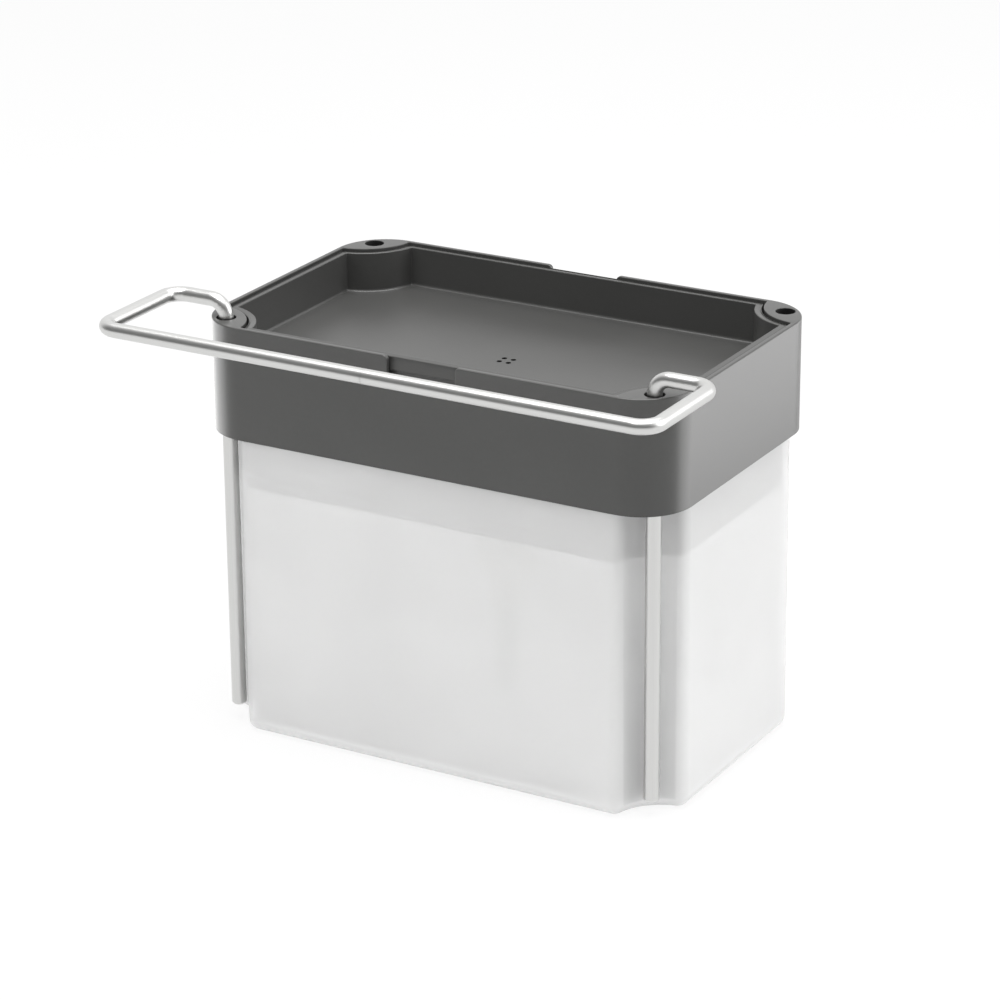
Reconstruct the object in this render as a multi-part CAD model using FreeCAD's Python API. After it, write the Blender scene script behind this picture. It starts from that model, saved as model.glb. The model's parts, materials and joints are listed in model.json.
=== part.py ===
import FreeCAD, Part
import math
import os

# Counter-top soap pump caddy with a towel rail.
# A translucent tank stands on the counter. A grey lid closes it: a collar with four corner posts, welded
# to a deck whose plug enters the tank. A hand pump hangs from the deck. A sponge tray rides on the pump
# and is pressed down, so that soap rises through four small outlets in its floor. A bent wire rail drops
# into the two front posts.
# Millimetres, +Z up. Origin: centre of the tank's base, on the counter. +X runs along the long side and
# the towel rail stands out towards -Y.

Vector = FreeCAD.Vector

# Collar
COLLAR_LENGTH = 140.0
COLLAR_WIDTH = 88.0
COLLAR_HEIGHT = 31.0
COLLAR_CORNER_RADIUS = 15.0
COLLAR_WALL = 1.4
COLLAR_TOP_ROUNDING = 0.4
COLLAR_WELL_ROUNDING = 0.6
COLLAR_WELL_CHAMFER = 0.25
POST_REACH = 14.8
NOTCH_WIDTH = 20.0
NOTCH_DEPTH = 8.0
NOTCH_MOUTH_ROUNDING = 1.2
NOTCH_FLOOR_ROUNDING = 1.5
LOCATING_RIB_LENGTH = 14.0
LOCATING_RIB_HEIGHT = 1.2
LOCATING_RIB_DEPTH = 0.8
LOCATING_RIB_SPACING = 70.0

# Tank
TANK_HEIGHT = 84.0
TANK_INSET = 0.4
TANK_WALL = 2.0
TANK_FLOOR = 2.5
TANK_GROOVE_REACH = 12.9
TANK_LOBE_ROUNDING = 3.6
TANK_BASE_ROUNDING = 3.4
TANK_FLOOR_CHAMFER = 1.4
TANK_RIM_CHAMFER = 0.4

# Deck, plug and seal
DECK_THICKNESS = 3.0
DECK_CLEARANCE = 0.15
PLUG_DEPTH = 14.2
PLUG_WALL = 2.4
PLUG_CLEARANCE = 0.35
DECK_RIB_THICKNESS = 1.6
DECK_RIB_DEPTH = 6.0
BREATHER_DIAMETER = 1.5
BREATHER_X = 36.0
BREATHER_Y = 20.0
SEAL_HEIGHT = 2.8
SEAL_DROP = 6.0
SEAL_GROOVE_DEPTH = 1.2
SEAL_SIDE_GAP = 0.05
SEAL_WALL_GAP = 0.08

# Pump well and pump barrel
PUMP_WELL_DIAMETER = 40.0
PUMP_WELL_WALL = 2.0
PUMP_WELL_FLOOR = 2.5
BARREL_BORE = 14.0
BARREL_WALL = 1.5
BARREL_FLANGE_DIAMETER = 26.0
BARREL_FLANGE_THICKNESS = 2.5
BARREL_HOLE_CLEARANCE = 0.15
BARREL_GASKET_THICKNESS = 1.0
BARREL_GASKET_WIDTH = 3.2
NUT_FLANGE_DIAMETER = 30.0
NUT_FLANGE_THICKNESS = 1.5
NUT_FLATS = 24.0
NUT_HEIGHT = 6.0
GUIDE_FLANGE_DIAMETER = 21.0
GUIDE_FLANGE_THICKNESS = 2.0
GUIDE_SPIGOT_LENGTH = 9.7
GUIDE_SPIGOT_CLEARANCE = 0.06

# Inlet valve and dip tube
INLET_BALL_DIAMETER = 5.0
INLET_BALL_LIFT = 1.2
INLET_THROAT_DIAMETER = 3.0
INLET_THROAT_LENGTH = 2.0
INLET_CHAMBER_DIAMETER = 6.4
RETAINER_THICKNESS = 1.5
RETAINER_HUB_DIAMETER = 2.4
RETAINER_SPOKE_WIDTH = 1.0
RETAINER_SPOKES = 3
RETAINER_CLEARANCE = 0.06
DIP_TUBE_DIAMETER = 7.0
DIP_TUBE_WALL = 1.0
DIP_TUBE_CLEARANCE = 0.05
DIP_SOCKET_DEPTH = 8.0
DIP_SOCKET_WALL = 1.45
DIP_FLOOR_GAP = 3.5
DIP_END_SLANT = 3.0
BALL_SEAT_GAP = 0.02
BALL_STOP_GAP = 0.25

# Plunger
PUMP_STROKE = 8.0
STEM_DIAMETER = 8.0
STEM_BORE = 2.6
STEM_CLEARANCE = 0.05
STEM_FLANGE_DIAMETER = 11.2
STEM_FLANGE_THICKNESS = 1.5
STEM_STOP_GAP = 0.3
CARRIER_DIAMETER = 5.9
CARRIER_BORE = 2.6
CARRIER_SPIGOT_LENGTH = 6.0
CARRIER_FLANGE_DIAMETER = 10.4
CARRIER_FLANGE_THICKNESS = 1.5
CARRIER_CLEARANCE = 0.05
CARRIER_BOTTOM_GAP = 0.5
PISTON_SEAL_HEIGHT = 5.5
PISTON_SEAL_LIP = 1.2
PISTON_SEAL_WAIST = 0.9
PISTON_CLEARANCE = 0.05
OUTLET_BALL_DIAMETER = 4.0
OUTLET_BALL_LIFT = 1.0
OUTLET_CHAMBER_DIAMETER = 5.2
HEAD_PLATE_DIAMETER = 30.0
HEAD_PLATE_THICKNESS = 2.5
HEAD_HUB_DIAMETER = 16.0
HEAD_WEB = 1.0
HEAD_EDGE_CHAMFER = 0.6
HEAD_SLOT_LENGTH = 4.4
HEAD_SLOT_WIDTH = 0.9
HEAD_SOCKET_DEPTH = 2.5
HEAD_STEM_SOCKET_DEPTH = 4.5
HEAD_STOP_GAP = 2.0
OUTLET_GASKET_THICKNESS = 1.0
OUTLET_GASKET_BORE = 4.8
OUTLET_GASKET_CLEARANCE = 0.15

# Return spring
SPRING_WIRE = 1.2
SPRING_MEAN_DIAMETER = 18.4
SPRING_TURNS = 4
SPRING_SEAT_GAP = 0.05

# Sponge tray
TRAY_GAP = 0.45
TRAY_POST_GAP = 0.85
TRAY_DROP = 0.5
TRAY_RIM_WIDTH = 2.0
TRAY_RIM_CHAMFER = 0.3
TRAY_LOBE_ROUNDING = 2.0
TRAY_LIP_HEIGHT = 3.85
TRAY_LIP_OVERHANG = 0.8
TRAY_DEPTH = 11.0
TRAY_DISH = 1.4
TRAY_FLOOR = 2.0
TRAY_RIB_THICKNESS = 1.2
TRAY_RIB_DEPTH = 1.8
TRAY_RIB_SPACING_X = 72.0
TRAY_RIB_SPACING_Y = 40.0
TRAY_RING_DIAMETER = 24.0
SPIGOT_DIAMETER = 9.0
SPIGOT_BORE = 6.0
SPIGOT_CLEARANCE = 0.15
OUTLET_DIAMETER = 1.5
OUTLET_PITCH = 2.74
OUTLET_WEB = 1.4

# Towel rail
RAIL_WIRE = 4.0
RAIL_CLEARANCE = 0.6
RAIL_BORE_INSET = 6.8
RAIL_BORE_CHAMFER = 0.2
RAIL_RISE = 4.4
RAIL_CORNER_RADIUS = 5.0
RAIL_SIDE_REACH = 16.4
RAIL_FRONT_REACH = 33.8
RAIL_FOOT_GAP = 4.5
RAIL_END_CHAMFER = 0.4

# Margin by which a cutting body passes the face that it opens
CUT_MARGIN = 1.0

# Plan half sizes
HALF_LENGTH = COLLAR_LENGTH / 2
HALF_WIDTH = COLLAR_WIDTH / 2

# Levels of the shell, from the counter up
COLLAR_TOP = TANK_HEIGHT + COLLAR_HEIGHT
DECK_TOP = TANK_HEIGHT + DECK_THICKNESS
PLUG_BOTTOM = TANK_HEIGHT - PLUG_DEPTH
SEAL_TOP = TANK_HEIGHT - SEAL_DROP
SEAL_BOTTOM = SEAL_TOP - SEAL_HEIGHT

# Levels of the tray and the pump, from the tray's rim down
RIM_TOP = COLLAR_TOP - TRAY_DROP
LIP_BOTTOM = RIM_TOP - TRAY_LIP_HEIGHT
FLOOR_EDGE = RIM_TOP - TRAY_DEPTH
FLOOR_MIDDLE = FLOOR_EDGE - TRAY_DISH
HEAD_TOP = FLOOR_MIDDLE - TRAY_FLOOR - TRAY_RIB_DEPTH
HEAD_UNDERSIDE = HEAD_TOP - HEAD_PLATE_THICKNESS
SPIGOT_BOTTOM = HEAD_TOP - HEAD_SOCKET_DEPTH
OUTLET_GASKET_BOTTOM = SPIGOT_BOTTOM - OUTLET_GASKET_THICKNESS
STEM_TOP = OUTLET_GASKET_BOTTOM - HEAD_WEB
HEAD_BOTTOM = STEM_TOP - HEAD_STEM_SOCKET_DEPTH
GUIDE_TOP = HEAD_BOTTOM - PUMP_STROKE - HEAD_STOP_GAP
BARREL_TOP = GUIDE_TOP - GUIDE_FLANGE_THICKNESS
BARREL_FLANGE_BOTTOM = BARREL_TOP - BARREL_FLANGE_THICKNESS
WELL_FLOOR_TOP = BARREL_FLANGE_BOTTOM - BARREL_GASKET_THICKNESS
WELL_FLOOR_BOTTOM = WELL_FLOOR_TOP - PUMP_WELL_FLOOR
GUIDE_BOTTOM = BARREL_TOP - GUIDE_SPIGOT_LENGTH
STEM_FLANGE_TOP = GUIDE_BOTTOM - STEM_STOP_GAP
STEM_BOTTOM = STEM_FLANGE_TOP - STEM_FLANGE_THICKNESS
PISTON_SEAL_BOTTOM = STEM_BOTTOM - PISTON_SEAL_HEIGHT
CARRIER_BOTTOM = PISTON_SEAL_BOTTOM - CARRIER_FLANGE_THICKNESS
RETAINER_TOP = CARRIER_BOTTOM - PUMP_STROKE - CARRIER_BOTTOM_GAP
RETAINER_BOTTOM = RETAINER_TOP - RETAINER_THICKNESS

# Levels of the two ball valves: a ball lies on a 45 degree cone below its stop
INLET_BALL_RADIUS = INLET_BALL_DIAMETER / 2
INLET_BALL_CENTRE = RETAINER_BOTTOM - BALL_STOP_GAP - INLET_BALL_LIFT - INLET_BALL_RADIUS
OUTLET_BALL_RADIUS = OUTLET_BALL_DIAMETER / 2
OUTLET_BALL_CENTRE = STEM_TOP - BALL_STOP_GAP - OUTLET_BALL_LIFT - OUTLET_BALL_RADIUS


def cone_foot(ball_centre, ball_radius, throat_radius):
    """Height where a 45 degree seat, tangent to the ball less the seat gap, meets its throat."""
    return ball_centre + throat_radius - (ball_radius + BALL_SEAT_GAP) * math.sqrt(2)


INLET_SEAT = cone_foot(INLET_BALL_CENTRE, INLET_BALL_RADIUS, INLET_THROAT_DIAMETER / 2)
OUTLET_SEAT = cone_foot(OUTLET_BALL_CENTRE, OUTLET_BALL_RADIUS, STEM_BORE / 2)
DIP_TUBE_TOP = INLET_SEAT - INLET_THROAT_LENGTH
DIP_SOCKET_BOTTOM = DIP_TUBE_TOP - DIP_SOCKET_DEPTH
DIP_TUBE_BOTTOM = TANK_FLOOR + DIP_FLOOR_GAP

# Radii of the barrel and of the pieces that run in it
BARREL_BORE_RADIUS = BARREL_BORE / 2
BARREL_RADIUS = BARREL_BORE_RADIUS + BARREL_WALL
BARREL_HOLE_RADIUS = BARREL_RADIUS + BARREL_HOLE_CLEARANCE
DIP_TUBE_RADIUS = DIP_TUBE_DIAMETER / 2
DIP_SOCKET_RADIUS = DIP_TUBE_RADIUS + DIP_TUBE_CLEARANCE + DIP_SOCKET_WALL
STEM_RADIUS = STEM_DIAMETER / 2
CARRIER_RADIUS = CARRIER_DIAMETER / 2

# Places of the rail
BORE_X = HALF_LENGTH - RAIL_BORE_INSET
BORE_Y = HALF_WIDTH - RAIL_BORE_INSET
BORE_RADIUS = RAIL_WIRE / 2 + RAIL_CLEARANCE
RAIL_LEVEL = COLLAR_TOP + RAIL_RISE
RAIL_ARM_X = BORE_X + RAIL_SIDE_REACH
RAIL_BAR_Y = -BORE_Y - RAIL_FRONT_REACH


class Outline:
    """Rectangle whose corners are hollowed by arcs centred on the collar's sharp plan corners."""

    def __init__(self, half_x, half_y, reach, rounding):
        self.half_x = half_x
        self.half_y = half_y
        self.reach = reach
        self.rounding = max(rounding, 0.0)

    def inset(self, distance, rounding=None):
        """The same outline drawn in by a distance, with its own lobe rounding if one is given."""
        if rounding is None:
            rounding = self.rounding - distance
        return Outline(self.half_x - distance, self.half_y - distance, self.reach + distance, rounding)

    def lobe(self, half_side, centre_side, centre_along):
        """Where one lobe's rounding begins on its side and where it meets the hollow arc."""
        span = self.reach + self.rounding
        offset = centre_side - half_side + self.rounding
        along = centre_along - math.sqrt(span ** 2 - offset ** 2)
        share = self.rounding / span
        side_centre = half_side - self.rounding
        meet_side = side_centre + (centre_side - side_centre) * share
        meet_along = along + (centre_along - along) * share
        return along, side_centre, meet_side, meet_along

    def corner_points(self):
        """Points of the corner at +X +Y, from the right-hand side to the far side."""
        along, side, meet_x, meet_y = self.lobe(self.half_x, HALF_LENGTH, HALF_WIDTH)
        right_centre = Vector(side, along, 0)
        right_start = Vector(self.half_x, along, 0)
        right_end = Vector(meet_x, meet_y, 0)
        along, side, meet_y, meet_x = self.lobe(self.half_y, HALF_WIDTH, HALF_LENGTH)
        far_centre = Vector(along, side, 0)
        far_end = Vector(along, self.half_y, 0)
        far_start = Vector(meet_x, meet_y, 0)
        sharp_corner = Vector(HALF_LENGTH, HALF_WIDTH, 0)
        hollow_middle = arc_middle(sharp_corner, right_end, far_start)
        if self.rounding == 0:
            return [right_end, hollow_middle, far_start]
        right_middle = arc_middle(right_centre, right_start, right_end)
        far_middle = arc_middle(far_centre, far_start, far_end)
        return [right_start, right_middle, right_end, hollow_middle, far_start, far_middle, far_end]

    def wire(self, level):
        """Closed wire at a height."""
        quadrants = [(1, 1), (-1, 1), (-1, -1), (1, -1)]
        corners = []
        for sign_x, sign_y in quadrants:
            points = [Vector(sign_x * p.x, sign_y * p.y, level) for p in self.corner_points()]
            if sign_x != sign_y:
                points.reverse()
            corners.append(points)
        edges = []
        for index, points in enumerate(corners):
            for first in range(0, len(points) - 1, 2):
                edges.append(Part.Arc(*points[first:first + 3]).toShape())
            following = corners[(index + 1) % len(corners)]
            edges.append(Part.LineSegment(points[-1], following[0]).toShape())
        return Part.Wire(edges)

    def prism(self, low, high):
        """Solid between two heights."""
        return Part.Face(self.wire(low)).extrude(Vector(0, 0, high - low))


def arc_middle(centre, start, end):
    """Middle point of the shorter arc about a centre."""
    radius = (start - centre).Length
    towards = (start - centre) + (end - centre)
    return centre + towards.normalize() * radius


def turned(profile):
    """Solid of revolution about Z from a closed profile of radius and height pairs."""
    points = [Vector(radius, 0, height) for radius, height in profile]
    points.append(points[0])
    face = Part.Face(Part.makePolygon(points))
    return face.revolve(Vector(0, 0, 0), Vector(0, 0, 1), 360)


def ring(inner_radius, outer_radius, low, high):
    """Plain ring between two heights."""
    return turned([(inner_radius, low), (outer_radius, low), (outer_radius, high), (inner_radius, high)])


def rod(radius, low, high, x=0.0, y=0.0):
    """Upright cylinder between two heights."""
    return Part.makeCylinder(radius, high - low, Vector(x, y, low))


def block(x_low, x_high, y_low, y_high, low, high):
    """Box between two corners."""
    return Part.makeBox(x_high - x_low, y_high - y_low, high - low, Vector(x_low, y_low, low))


def edges_at(shape, level):
    """Edges that lie flat at a height."""
    tolerance = 1e-4
    found = []
    for edge in shape.Edges:
        box = edge.BoundBox
        if abs(box.ZMin - level) < tolerance and abs(box.ZMax - level) < tolerance:
            found.append(edge)
    return found


def edges_along(shape, wire):
    """Edges whose middle lies on a wire."""
    tolerance = 1e-3
    found = []
    for edge in shape.Edges:
        middle = edge.valueAt((edge.FirstParameter + edge.LastParameter) / 2)
        if Part.Vertex(middle).distToShape(wire)[0] < tolerance:
            found.append(edge)
    return found


def signed_pairs(x, y):
    """The four mirror images of a plan point."""
    return [(sign_x * x, sign_y * y) for sign_x in (-1, 1) for sign_y in (-1, 1)]


def bent_wire(corners, radii, diameter):
    """Round wire along straight runs joined by tangent arcs of the given radii."""
    edges = []
    start = corners[0]
    for index, radius in enumerate(radii):
        corner = corners[index + 1]
        back = (corners[index] - corner).normalize()
        ahead = (corners[index + 2] - corner).normalize()
        half_angle = back.getAngle(ahead) / 2
        arc_start = corner + back * (radius / math.tan(half_angle))
        arc_end = corner + ahead * (radius / math.tan(half_angle))
        bisector = (back + ahead).normalize()
        middle = corner + bisector * (radius / math.sin(half_angle) - radius)
        edges.append(Part.LineSegment(start, arc_start).toShape())
        edges.append(Part.Arc(arc_start, middle, arc_end).toShape())
        start = arc_end
    edges.append(Part.LineSegment(start, corners[-1]).toShape())
    direction = (corners[1] - corners[0]).normalize()
    section = Part.Wire(Part.Circle(corners[0], direction, diameter / 2).toShape())
    return Part.Wire(edges).makePipeShell([section], True, False)


def tangent_arc(start, direction, end):
    """Arc that leaves a point along a direction and ends at another point."""
    chord = end - start
    along = Vector(chord).normalize()
    aside = (direction - along * direction.dot(along)).normalize()
    half_turn = direction.getAngle(along)
    middle = start + chord * 0.5 + aside * (chord.Length / 2 * math.tan(half_turn / 2))
    return Part.Arc(start, middle, end).toShape()


def biarc(start, start_direction, end, end_direction):
    """Two arcs that join two points along their given directions."""
    chord = end - start
    together = start_direction + end_direction
    spread = 2 * (1 - start_direction.dot(end_direction))
    reach = chord.dot(together)
    length = (math.sqrt(reach ** 2 + spread * chord.dot(chord)) - reach) / spread
    joint = (start + start_direction * length + end - end_direction * length) * 0.5
    joint_direction = (end - end_direction * length - start - start_direction * length).normalize()
    return [tangent_arc(start, start_direction, joint), tangent_arc(joint, joint_direction, end)]


def collar_well():
    """Outline of the open well inside the collar."""
    return Outline(HALF_LENGTH - COLLAR_WALL, HALF_WIDTH - COLLAR_WALL, POST_REACH, COLLAR_WELL_ROUNDING)


def tank_outside():
    """Outline of the tank's outer wall."""
    half_x = HALF_LENGTH - TANK_INSET
    half_y = HALF_WIDTH - TANK_INSET
    return Outline(half_x, half_y, TANK_GROOVE_REACH, TANK_LOBE_ROUNDING)


def tank_inside():
    """Outline of the tank's inner wall."""
    return tank_outside().inset(TANK_WALL)


def plug_outside():
    """Outline of the deck's plug."""
    return tank_inside().inset(PLUG_CLEARANCE)


def tray_lip():
    """Outline of the tray's lip, with a wider gap round the posts than along the walls."""
    well = collar_well()
    half_x = well.half_x - TRAY_GAP
    half_y = well.half_y - TRAY_GAP
    return Outline(half_x, half_y, well.reach + TRAY_POST_GAP, TRAY_LOBE_ROUNDING)


def make_tank():
    """Open tank with hollowed corners and a rounded base."""
    base_rounding = min(TANK_BASE_ROUNDING, TANK_LOBE_ROUNDING * 0.95)
    body = tank_outside().prism(0, TANK_HEIGHT)
    body = body.makeFillet(base_rounding, edges_at(body, 0))
    inside = tank_inside()
    cavity = inside.prism(TANK_FLOOR, TANK_HEIGHT + CUT_MARGIN)
    cavity = cavity.makeChamfer(TANK_FLOOR_CHAMFER, edges_at(cavity, TANK_FLOOR))
    body = body.cut(cavity)
    return body.makeChamfer(TANK_RIM_CHAMFER, edges_along(body, inside.wire(TANK_HEIGHT)))


def notch_cutter():
    """Cutter for the finger notches, through the front and the back wall."""
    half = NOTCH_WIDTH / 2
    floor = COLLAR_TOP - NOTCH_DEPTH
    above = COLLAR_TOP + CUT_MARGIN
    mouth = NOTCH_MOUTH_ROUNDING
    foot = NOTCH_FLOOR_ROUNDING
    back = HALF_WIDTH + CUT_MARGIN
    diagonal = 1 - math.sqrt(0.5)

    def point(x, z):
        return Vector(x, back, z)

    def side(sign):
        mouth_end = point(sign * (half + mouth), COLLAR_TOP)
        mouth_middle = point(sign * (half + mouth * diagonal), COLLAR_TOP - mouth * diagonal)
        wall_top = point(sign * half, COLLAR_TOP - mouth)
        wall_foot = point(sign * half, floor + foot)
        foot_middle = point(sign * (half - foot * diagonal), floor + foot * diagonal)
        floor_end = point(sign * (half - foot), floor)
        edges = [
            Part.LineSegment(point(sign * (half + mouth), above), mouth_end).toShape(),
            Part.Arc(mouth_end, mouth_middle, wall_top).toShape(),
            Part.LineSegment(wall_top, wall_foot).toShape(),
            Part.Arc(wall_foot, foot_middle, floor_end).toShape(),
        ]
        return edges, floor_end

    left, left_floor = side(-1)
    right, right_floor = side(1)
    floor_edge = Part.LineSegment(left_floor, right_floor).toShape()
    top_edge = Part.LineSegment(point(-half - mouth, above), point(half + mouth, above)).toShape()
    outline = Part.Wire(Part.__sortEdges__(left + right + [floor_edge, top_edge]))
    return Part.Face(outline).extrude(Vector(0, -2 * back, 0))


def locating_ribs():
    """Short ribs inside the collar that stop the deck from below."""
    well = collar_well()
    half = LOCATING_RIB_LENGTH / 2
    low = DECK_TOP
    high = DECK_TOP + LOCATING_RIB_HEIGHT
    ribs = []
    for sign in (-1, 1):
        for place in (-LOCATING_RIB_SPACING / 2, LOCATING_RIB_SPACING / 2):
            wall = sign * (well.half_y + COLLAR_WALL / 2)
            face = sign * (well.half_y - LOCATING_RIB_DEPTH)
            ribs.append(block(place - half, place + half, min(wall, face), max(wall, face), low, high))
        wall = sign * (well.half_x + COLLAR_WALL / 2)
        face = sign * (well.half_x - LOCATING_RIB_DEPTH)
        ribs.append(block(min(wall, face), max(wall, face), -half, half, low, high))
    return ribs


def make_collar():
    """Rounded collar with four bored corner posts and a finger notch in each long wall."""
    body = block(-HALF_LENGTH, HALF_LENGTH, -HALF_WIDTH, HALF_WIDTH, TANK_HEIGHT, COLLAR_TOP)
    upright = [edge for edge in body.Edges if edge.BoundBox.ZLength > COLLAR_HEIGHT / 2]
    body = body.makeFillet(COLLAR_CORNER_RADIUS, upright)
    body = body.makeFillet(COLLAR_TOP_ROUNDING, edges_at(body, COLLAR_TOP))
    well = collar_well()
    body = body.cut(well.prism(TANK_HEIGHT - CUT_MARGIN, COLLAR_TOP + CUT_MARGIN))
    body = body.makeChamfer(COLLAR_WELL_CHAMFER, edges_along(body, well.wire(COLLAR_TOP)))
    body = body.cut(notch_cutter())
    chamfer = RAIL_BORE_CHAMFER
    for x, y in signed_pairs(BORE_X, BORE_Y):
        body = body.cut(rod(BORE_RADIUS, TANK_HEIGHT - CUT_MARGIN, COLLAR_TOP + CUT_MARGIN, x, y))
        mouth = Part.makeCone(BORE_RADIUS, BORE_RADIUS + chamfer, chamfer, Vector(x, y, COLLAR_TOP - chamfer))
        body = body.cut(mouth)
    return body.fuse(locating_ribs())


def make_deck():
    """Deck plate with the plug that enters the tank and the sunken well that carries the pump."""
    body = collar_well().inset(DECK_CLEARANCE).prism(TANK_HEIGHT, DECK_TOP)
    plug = plug_outside()
    plug_inside = plug.inset(PLUG_WALL)
    skirt = plug.prism(PLUG_BOTTOM, TANK_HEIGHT)
    skirt = skirt.cut(plug_inside.prism(PLUG_BOTTOM - CUT_MARGIN, TANK_HEIGHT))
    groove = plug.inset(-CUT_MARGIN).prism(SEAL_BOTTOM, SEAL_TOP)
    groove = groove.cut(plug.inset(SEAL_GROOVE_DEPTH).prism(SEAL_BOTTOM, SEAL_TOP))
    skirt = skirt.cut(groove)
    well_radius = PUMP_WELL_DIAMETER / 2
    cup = rod(well_radius + PUMP_WELL_WALL, WELL_FLOOR_BOTTOM, DECK_TOP)
    rib_low = TANK_HEIGHT - DECK_RIB_DEPTH
    half_rib = DECK_RIB_THICKNESS / 2
    into_skirt = PLUG_WALL / 2
    rib_x = plug_inside.half_x + into_skirt
    rib_y = plug_inside.half_y + into_skirt
    long_rib = block(-rib_x, rib_x, -half_rib, half_rib, rib_low, TANK_HEIGHT)
    cross_rib = block(-half_rib, half_rib, -rib_y, rib_y, rib_low, TANK_HEIGHT)
    body = body.fuse([skirt, cup, long_rib, cross_rib])
    body = body.cut(rod(well_radius, WELL_FLOOR_TOP, DECK_TOP + CUT_MARGIN))
    body = body.cut(rod(BARREL_HOLE_RADIUS, WELL_FLOOR_BOTTOM - CUT_MARGIN, DECK_TOP))
    breather_low = TANK_HEIGHT - CUT_MARGIN
    breather = rod(BREATHER_DIAMETER / 2, breather_low, DECK_TOP + CUT_MARGIN, BREATHER_X, BREATHER_Y)
    return body.cut(breather).removeSplitter()


def make_lid_seal():
    """Silicone seal in the groove round the plug."""
    low = SEAL_BOTTOM + SEAL_SIDE_GAP
    high = SEAL_TOP - SEAL_SIDE_GAP
    outside = tank_inside().inset(SEAL_WALL_GAP).prism(low, high)
    inside = plug_outside().inset(SEAL_GROOVE_DEPTH - SEAL_SIDE_GAP)
    return outside.cut(inside.prism(low - CUT_MARGIN, high + CUT_MARGIN))


def make_pump_barrel():
    """Flanged barrel with the inlet valve's seat and the dip tube's socket."""
    throat = INLET_THROAT_DIAMETER / 2
    chamber = INLET_CHAMBER_DIAMETER / 2
    flange = BARREL_FLANGE_DIAMETER / 2
    socket = DIP_TUBE_RADIUS + DIP_TUBE_CLEARANCE
    shoulder = BARREL_RADIUS - DIP_SOCKET_RADIUS
    taper_foot = DIP_TUBE_TOP
    return turned([
        (BARREL_BORE_RADIUS, BARREL_TOP),
        (flange, BARREL_TOP),
        (flange, BARREL_FLANGE_BOTTOM),
        (BARREL_RADIUS, BARREL_FLANGE_BOTTOM),
        (BARREL_RADIUS, taper_foot + shoulder),
        (DIP_SOCKET_RADIUS, taper_foot),
        (DIP_SOCKET_RADIUS, DIP_SOCKET_BOTTOM),
        (socket, DIP_SOCKET_BOTTOM),
        (socket, DIP_TUBE_TOP),
        (throat, DIP_TUBE_TOP),
        (throat, INLET_SEAT),
        (chamber, INLET_SEAT + chamber - throat),
        (chamber, RETAINER_BOTTOM),
        (BARREL_BORE_RADIUS, RETAINER_BOTTOM),
    ])


def make_barrel_gasket():
    """Flat gasket under the barrel's flange."""
    outer = BARREL_HOLE_RADIUS + BARREL_GASKET_WIDTH
    return ring(BARREL_HOLE_RADIUS, outer, WELL_FLOOR_TOP, BARREL_FLANGE_BOTTOM)


def make_lock_nut():
    """Flanged hexagon nut that clamps the barrel from below."""
    hexagon_radius = NUT_FLATS / math.sqrt(3)
    nut_bottom = WELL_FLOOR_BOTTOM - NUT_HEIGHT
    flange_bottom = WELL_FLOOR_BOTTOM - NUT_FLANGE_THICKNESS
    corners = []
    for step in range(7):
        angle = math.radians(60 * step)
        corners.append(Vector(hexagon_radius * math.cos(angle), hexagon_radius * math.sin(angle), nut_bottom))
    hexagon = Part.Face(Part.makePolygon(corners)).extrude(Vector(0, 0, NUT_HEIGHT))
    body = hexagon.fuse(rod(NUT_FLANGE_DIAMETER / 2, flange_bottom, WELL_FLOOR_BOTTOM))
    hole = rod(BARREL_HOLE_RADIUS, nut_bottom - CUT_MARGIN, WELL_FLOOR_BOTTOM + CUT_MARGIN)
    return body.cut(hole).removeSplitter()


def make_stem_guide():
    """Cap that closes the barrel and guides the stem."""
    hole = STEM_RADIUS + STEM_CLEARANCE
    spigot = BARREL_BORE_RADIUS - GUIDE_SPIGOT_CLEARANCE
    flange = GUIDE_FLANGE_DIAMETER / 2
    return turned([
        (hole, GUIDE_BOTTOM),
        (spigot, GUIDE_BOTTOM),
        (spigot, BARREL_TOP),
        (flange, BARREL_TOP),
        (flange, GUIDE_TOP),
        (hole, GUIDE_TOP),
    ])


def make_inlet_ball():
    """Inlet valve ball on its seat."""
    return Part.makeSphere(INLET_BALL_RADIUS, Vector(0, 0, INLET_BALL_CENTRE))


def make_ball_retainer():
    """Spoked washer that keeps the inlet ball in its chamber."""
    outer = BARREL_BORE_RADIUS - RETAINER_CLEARANCE
    window = INLET_CHAMBER_DIAMETER / 2
    half_spoke = RETAINER_SPOKE_WIDTH / 2
    rim = ring(window, outer, RETAINER_BOTTOM, RETAINER_TOP)
    hub = rod(RETAINER_HUB_DIAMETER / 2, RETAINER_BOTTOM, RETAINER_TOP)
    into_rim = window + (outer - window) / 2
    spokes = []
    for index in range(RETAINER_SPOKES):
        spoke = block(0, into_rim, -half_spoke, half_spoke, RETAINER_BOTTOM, RETAINER_TOP)
        spoke.rotate(Vector(0, 0, 0), Vector(0, 0, 1), 360 / RETAINER_SPOKES * index)
        spokes.append(spoke)
    return rim.fuse([hub] + spokes).removeSplitter()


def make_dip_tube():
    """Dip tube with a slanted lower end."""
    tube = ring(DIP_TUBE_RADIUS - DIP_TUBE_WALL, DIP_TUBE_RADIUS, DIP_TUBE_BOTTOM, DIP_TUBE_TOP)
    slant = math.degrees(math.atan2(DIP_END_SLANT, DIP_TUBE_DIAMETER))
    reach = DIP_TUBE_DIAMETER + DIP_END_SLANT
    wedge = block(-DIP_TUBE_RADIUS, reach, -reach, reach, DIP_TUBE_BOTTOM - reach, DIP_TUBE_BOTTOM)
    wedge.rotate(Vector(-DIP_TUBE_RADIUS, 0, DIP_TUBE_BOTTOM), Vector(0, 1, 0), -slant)
    return tube.cut(wedge)


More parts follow.
